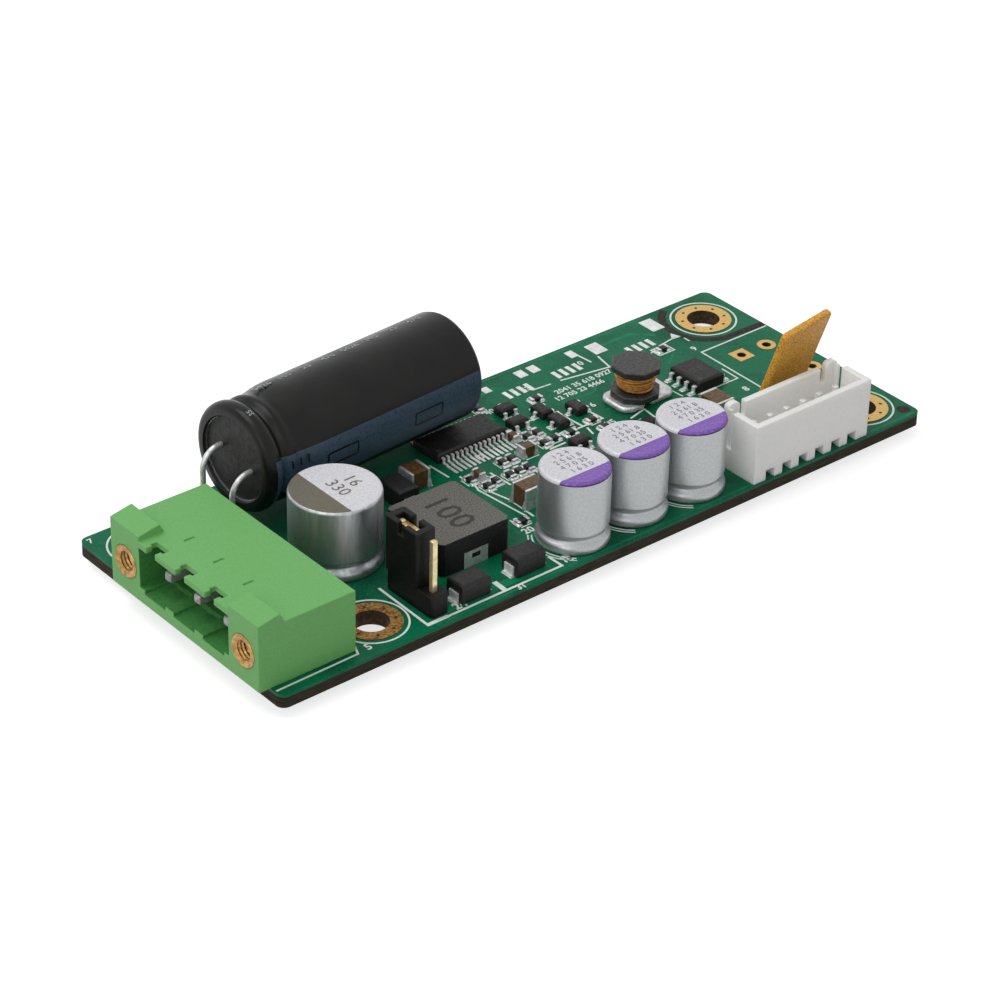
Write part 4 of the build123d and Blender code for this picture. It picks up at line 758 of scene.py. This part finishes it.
class CONVERTER_OT_upright_capacitors(bpy.types.Operator):
    """Build the upright cans with their printed tops"""
    bl_idname = "converter.upright_capacitors"
    bl_label = "Upright capacitors"

    def can(self, node, name, side, chord, drop, ink, rim_ink_and_shade, side_finish, top_finish, marks):
        """A can with ink beyond a chord of its top, and down the drop below its edge, in mm. Ink lower than
        0.2 mm below the top takes the rim's finish, which on the output cans is painted shade.
        """
        low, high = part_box(node)
        centre = Vector(((low.x + high.x) / 2, (low.y + high.y) / 2, low.z))
        radius, tall = (high.x - low.x) / 2 / MM, (high.z - low.z) / MM
        body = radius - 0.14
        profile = [(radius - 0.2, 0.0), (radius - 0.05, 0.1), (radius, 0.3), (radius, 0.75),
                   (radius - 0.06, 0.95), (radius - 0.25, 1.15), (radius - 0.5, 1.35),
                   (radius - 0.56, 1.5), (radius - 0.52, 1.7), (radius - 0.3, 2.0), (body, 2.35),
                   (body, tall - 0.45), (body - 0.04, tall - 0.26), (body - 0.14, tall - 0.1),
                   (body - 0.3, tall - 0.01), (body - 0.45, tall), (body - 0.62, tall - 0.05),
                   (0, tall - 0.05), (0, tall - 0.35), (radius - 0.5, tall - 0.4),
                   (radius - 0.5, 2.4), (radius - 0.75, 2.3), (radius - 0.75, 0.0)]
        work = bmesh.new()
        lathe(work, profile, Matrix.Translation(centre), 96, closed=False)
        bmesh.ops.holes_fill(work, edges=[edge for edge in work.edges if edge.is_boundary])
        normal = Vector(side)
        level = high.z - drop * MM
        split_ink(work, [(centre + normal * chord * MM, normal), (Vector((0, 0, level)), (0, 0, 1))])
        for face in work.faces:
            middle = face.calc_center_median()
            upper = middle.z > level and (face.normal.z > 0.02 or middle.z > high.z - 0.5 * MM)
            beyond = (middle - centre).dot(normal) > chord * MM
            face.material_index = 0
            if upper and middle.z > high.z - 0.6 * MM:
                # Beyond the chord, faces more than 0.2 mm below the top take the rim finish: painted shade
                # on the output cans
                face.material_index = 1 if not beyond else 3 if middle.z < high.z - 0.2 * MM else 2
        piece(name, work, [side_finish, top_finish, ink, rim_ink_and_shade], "aluminium", node)
        printed = bmesh.new()
        for words, height, along, across, in marks:
            sideways = Vector((-normal.y, normal.x, 0))
            at = centre + (normal * across + sideways * along) * MM
            at.z = high.z - 0.03 * MM
            turn = Vector((0, -1, 0)).angle(normal) * (-1 if normal.x < 0 else 1)
            numerals(printed, words, height, Matrix.Translation(at) @ Matrix.Rotation(turn, 4, "Z"))
        piece(name + "_figures", printed, ["dark_ink" if drop < 0.2 else "grey_ink"], None,
              smooth=0)

    def execute(self, context):
        self.can("input_can", "input_can_shell", (-1, 0, 0), 1.4, 0.09, "taupe_ink", "taupe_ink",
                 "can_aluminium", "can_top", INPUT_CAN_ROWS)
        for number in (1, 2, 3):
            # The output cans' rim band is a dark violet of painted shade
            self.can(f"output_can_{number}", f"output_can_shell_{number}", (0, -1, 0), 1.6, 0.42,
                     "purple_ink", "purple_ink_painted_shade", "coated_aluminium", "can_top", OUTPUT_CAN_ROWS)
        dress("rubber", "input_bung", "output_bung_1", "output_bung_2", "output_bung_3")
        dress("wound_foil", "input_roll", "output_roll_1", "output_roll_2", "output_roll_3")
        dress("bright_tin", "input_can_leads", "output_can_leads_1", "output_can_leads_2",
              "output_can_leads_3")
        return {"FINISHED"}


class CONVERTER_OT_jumper(bpy.types.Operator):
    """Dress the jumper's base, pins, shunt and spring contact"""
    bl_idname = "converter.jumper"
    bl_label = "Jumper"

    def execute(self, context):
        edge = sizes().moulded_edge
        rounded("jumper_foot", "jumper_base", edge, "black_plastic", "black_plastic")
        rounded("jumper_cap", "jumper_shunt", edge, "black_plastic", "black_plastic")
        rounded("jumper_posts", "jumper_pins", 0.8 * edge, "pin_gold", "gold_plate")
        dress("bronze", "jumper_contact")
        return {"FINISHED"}


class CONVERTER_OT_chokes(bpy.types.Operator):
    """Dress the square choke and wind the open drum choke"""
    bl_idname = "converter.chokes"
    bl_label = "Chokes"

    def execute(self, context):
        work = merged("choke_body")
        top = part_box("choke_body")[1].z
        soften(work, 0.15 * MM)
        for face in work.faces:
            face.material_index = 1 if face.normal.z > 0.6 and face.calc_center_median().z > top - 0.3 * MM \
                else 0
        piece("pressed_choke", work, ["choke_side", "choke_top"], "ferrite", "choke_body")
        words = bmesh.new()
        low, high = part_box("choke_body")
        middle = (low + high) / 2
        middle.z = high.z + 0.004 * MM
        numerals(words, "100", 3.0, Matrix.Translation(middle) @ Matrix.Rotation(radians(-90), 4, "Z"),
                 0.01)
        piece("choke_figures", words, ["choke_mark"], None, smooth=0)
        dress("tin", "choke_terminals")
        slots = bmesh.new()
        for low, high in islands("choke_terminals"):
            middle = (low + high) / 2
            reach = Vector((0.55, 0.0, 0.28)) * MM
            out = Vector((0, (-0.01 if middle.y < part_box("choke_body")[0].y + 2 * MM else 0.01) * MM, 0))
            at = Vector((middle.x, low.y if out.y < 0 else high.y, low.z + 1.25 * MM)) + out
            slab(slots, at - reach, at + reach + Vector((0, 0.005 * MM, 0)))
        piece("strap_slots", slots, ["choke_side"], None, smooth=0)
        dress("enamelled_copper", "choke_coil")
        rounded("ferrite_drum", "drum_core", 0.18 * MM, "ferrite", "ferrite", 3)
        low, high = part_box("drum_winding")
        centre = (low + high) / 2
        wire = sizes().wire
        work = bmesh.new()
        outer = (high.x - low.x) / 2 - wire / 2
        count = int((high.z - low.z - wire * 0.3) / (wire * 0.96))
        for layer, radius in enumerate((outer - wire * 0.85, outer)):
            for index in range(count - layer):
                lift = low.z + wire * 0.62 + (index + 0.5 * layer) * wire * 0.98
                lean = radians(2.5) * sin(2.4 * index + 1.7 * layer)
                taper = 0.6 * MM * (1 - index / count)
                place = Matrix.Translation((centre.x, centre.y, lift)) @ Matrix.Rotation(lean, 4, "X") \
                    @ Matrix.Rotation(lean * cos(1.3 * index), 4, "Y")
                profile = [((radius - taper + wire / 2 * cos(step * tau / 10)) / MM,
                            wire / 2 * sin(step * tau / 10) / MM) for step in range(10)]
                lathe(work, profile, place, 56, closed=True)
        piece("wire_turns", work, ["enamelled_copper"], "copper_wire", "drum_winding", smooth=80)
        rounded("drum_solder_tabs", "drum_terminals", 0.35 * MM, "tin", "tin", 3)
        return {"FINISHED"}


class CONVERTER_OT_fuse(bpy.types.Operator):
    """Dress the leaning resettable fuse"""
    bl_idname = "converter.fuse"
    bl_label = "Leaning fuse"

    def execute(self, context):
        rounded("coated_fuse", "fuse_plate", 0.26 * MM, "fuse_coating", "fuse_coating", 3)
        dress("tin", "fuse_leads")
        return {"FINISHED"}


class CONVERTER_OT_chips(bpy.types.Operator):
    """Dress the chips, transistors and diodes"""
    bl_idname = "converter.chips"
    bl_label = "Chips"

    def execute(self, context):
        edge = sizes().chip_edge
        names = {"controller_body": "controller_case", "regulator_body": "regulator_case",
                 "transistor_bodies": "transistor_cases", "diode_body_1": "diode_case_1",
                 "diode_body_2": "diode_case_2", "diode_body_3": "diode_case_3"}
        for node, name in names.items():
            rounded(name, node, edge, "chip_black", "black_plastic")
        marks = bmesh.new()
        for node, words, turn in (("controller_body", ("5601", "24 18"), 0),
                                  ("regulator_body", ("12", "06"), 90)):
            low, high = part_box(node)
            middle = (low + high) / 2
            middle.z = high.z + 0.003 * MM
            turned = Matrix.Rotation(radians(turn), 4, "Z")
            for row, line in enumerate(words):
                numerals(marks, line, 0.8, Matrix.Translation(middle) @ turned
                         @ Matrix.Translation(Vector((0, (0.6 - 1.2 * row) * MM, 0))), 0.02)
            disc(marks, Vector((low.x + 0.7 * MM, low.y + 0.7 * MM, middle.z)), 0.28, 20)
        piece("chip_marks", marks, ["chip_print"], None, smooth=0)
        dress("bright_tin", "controller_leads", "regulator_leads", "transistor_leads",
              "diode_terminals")
        return {"FINISHED"}


class CONVERTER_OT_small_parts(bpy.types.Operator):
    """Dress the chip resistors and ceramic capacitors, and lay the solder round every foot"""
    bl_idname = "converter.small_parts"
    bl_label = "Small parts and solder"

    def execute(self, context):
        edge = sizes().chip_edge
        rounded("ceramic_blocks", "ceramic_bodies", edge, "ceramic", "ceramic_brown")
        rounded("resistor_blocks", "resistor_bodies", 0.5 * edge, "resistor_glaze", "resistor_black")
        rounded("ceramic_caps", "ceramic_ends", edge, "tin", "tin")
        rounded("resistor_caps", "resistor_ends", 0.5 * edge, "tin", "tin")
        work = bmesh.new()
        spread = sizes().solder_spread
        for node in ("ceramic_ends", "resistor_ends"):
            for low, high in islands(node):
                mound(work, low, high, spread, 0.45 * (high.z - low.z))
        for node in ("controller_leads", "regulator_leads", "transistor_leads", "diode_terminals"):
            for low, high in islands(node, foot_only=True):
                narrow = 0.05 if node == "controller_leads" else 0.6
                mound(work, low, high, spread * narrow, 0.1 * MM)
        piece("solder_fillets", work, ["tin"], "tin", smooth=50)
        return {"FINISHED"}


class CONVERTER_OT_stage(bpy.types.Operator):
    """Lay the floor, hang the soft lights and set the camera"""
    bl_idname = "converter.stage"
    bl_label = "Stage"

    def seen(self, tree):
        """One where the camera or a reflection sees the surface, and zero where it only gives light."""
        rays = add(tree, "LightPath")
        return add(tree, "Math", {0: rays.outputs["Is Camera Ray"], 1: rays.outputs["Is Glossy Ray"]},
                   operation="MAXIMUM").outputs[0]

    def execute(self, context):
        scene = context.scene
        work = bmesh.new()
        bmesh.ops.create_grid(work, x_segments=1, y_segments=1, size=3.0)
        mesh = bpy.data.meshes.new("floor")
        work.to_mesh(mesh)
        work.free()
        floor = bpy.data.objects.new("floor", mesh)
        scene.collection.objects.link(floor)
        paper = bpy.data.materials.new("white_paper")
        paper.use_nodes = True
        tree = paper.node_tree
        shader = tree.nodes["Principled BSDF"]
        shader.inputs["Base Color"].default_value = tint(FLOOR_GREY)
        shader.inputs["Roughness"].default_value = 0.9
        shader.inputs["Specular IOR Level"].default_value = 0.0
        glow = add(tree, "Math", {0: self.seen(tree), 1: FLOOR_GLOW}, operation="MULTIPLY")
        shader.inputs["Emission Color"].default_value = (1, 1, 1, 1)
        tree.links.new(glow.outputs[0], shader.inputs["Emission Strength"])
        mesh.materials.append(paper)

        world = bpy.data.worlds.new("white_room")
        scene.world = world
        world.use_nodes = True
        tree = world.node_tree
        tree.nodes.clear()
        dim = add(tree, "Background", {"Color": (1, 1, 1, 1), "Strength": ROOM_LIGHT})
        white = add(tree, "Background", {"Color": (1, 1, 1, 1), "Strength": 1.0})
        either = add(tree, "MixShader", {0: self.seen(tree), 1: dim.outputs[0], 2: white.outputs[0]})
        add(tree, "OutputWorld", {"Surface": either.outputs[0]})

        for name, place, across, power in LAMPS:
            lamp = bpy.data.lights.new(name, "AREA")
            lamp.shape, lamp.size, lamp.energy = "DISK", across, power
            holder = bpy.data.objects.new(name, lamp)
            scene.collection.objects.link(holder)
            holder.location = place
            holder.rotation_euler = (-Vector(place)).to_track_quat("-Z", "Y").to_euler()

        swing, rise, roll = map(radians, CAMERA_ANGLES)
        back = Vector((sin(swing) * cos(rise), -cos(swing) * cos(rise), sin(rise)))
        camera = bpy.data.cameras.new("camera")
        camera.lens, camera.sensor_width = CAMERA_LENS, 36.0
        camera.clip_start, camera.clip_end = 0.01, 10.0
        holder = bpy.data.objects.new("camera", camera)
        scene.collection.objects.link(holder)
        turn = (-back).to_track_quat("-Z", "Y").to_matrix() @ Matrix.Rotation(roll, 3, "Z")
        eye = (Vector(CAMERA_TARGET) + back * CAMERA_REACH) * MM
        holder.matrix_world = Matrix.Translation(eye) @ turn.to_4x4()
        scene.camera = holder
        scene.view_settings.view_transform = "Standard"
        return {"FINISHED"}


OPERATORS = (CONVERTER_OT_stage, CONVERTER_OT_board, CONVERTER_OT_input_socket,
             CONVERTER_OT_output_socket, CONVERTER_OT_bulk_capacitor, CONVERTER_OT_upright_capacitors,
             CONVERTER_OT_jumper, CONVERTER_OT_chokes, CONVERTER_OT_fuse, CONVERTER_OT_chips,
             CONVERTER_OT_small_parts)


class CONVERTER_PT_panel(bpy.types.Panel):
    """Sizes, colours and building steps of the converter board"""
    bl_idname = "CONVERTER_PT_panel"
    bl_label = "Converter board"
    bl_space_type = "VIEW_3D"
    bl_region_type = "UI"
    bl_category = "Converter"

    def draw(self, context):
        for group in (context.scene.converter_sizes, context.scene.converter_colours):
            for name in group.bl_rna.properties.keys():
                if name not in ("rna_type", "name"):
                    self.layout.prop(group, name)
        for step in OPERATORS:
            self.layout.operator(step.bl_idname)


CLASSES = (ConverterSizes, ConverterColours, *OPERATORS, CONVERTER_PT_panel)


def register():
    for item in CLASSES:
        bpy.utils.register_class(item)
    bpy.types.Scene.converter_sizes = bpy.props.PointerProperty(type=ConverterSizes)
    bpy.types.Scene.converter_colours = bpy.props.PointerProperty(type=ConverterColours)


def unregister():
    del bpy.types.Scene.converter_colours
    del bpy.types.Scene.converter_sizes
    for item in reversed(CLASSES):
        bpy.utils.unregister_class(item)


def main():
    register()
    bpy.ops.converter.stage()
    bpy.ops.converter.board()
    bpy.ops.converter.input_socket()
    bpy.ops.converter.output_socket()
    bpy.ops.converter.bulk_capacitor()
    bpy.ops.converter.upright_capacitors()
    bpy.ops.converter.jumper()
    bpy.ops.converter.chokes()
    bpy.ops.converter.fuse()
    bpy.ops.converter.chips()
    bpy.ops.converter.small_parts()


if __name__ == "__main__":
    main()
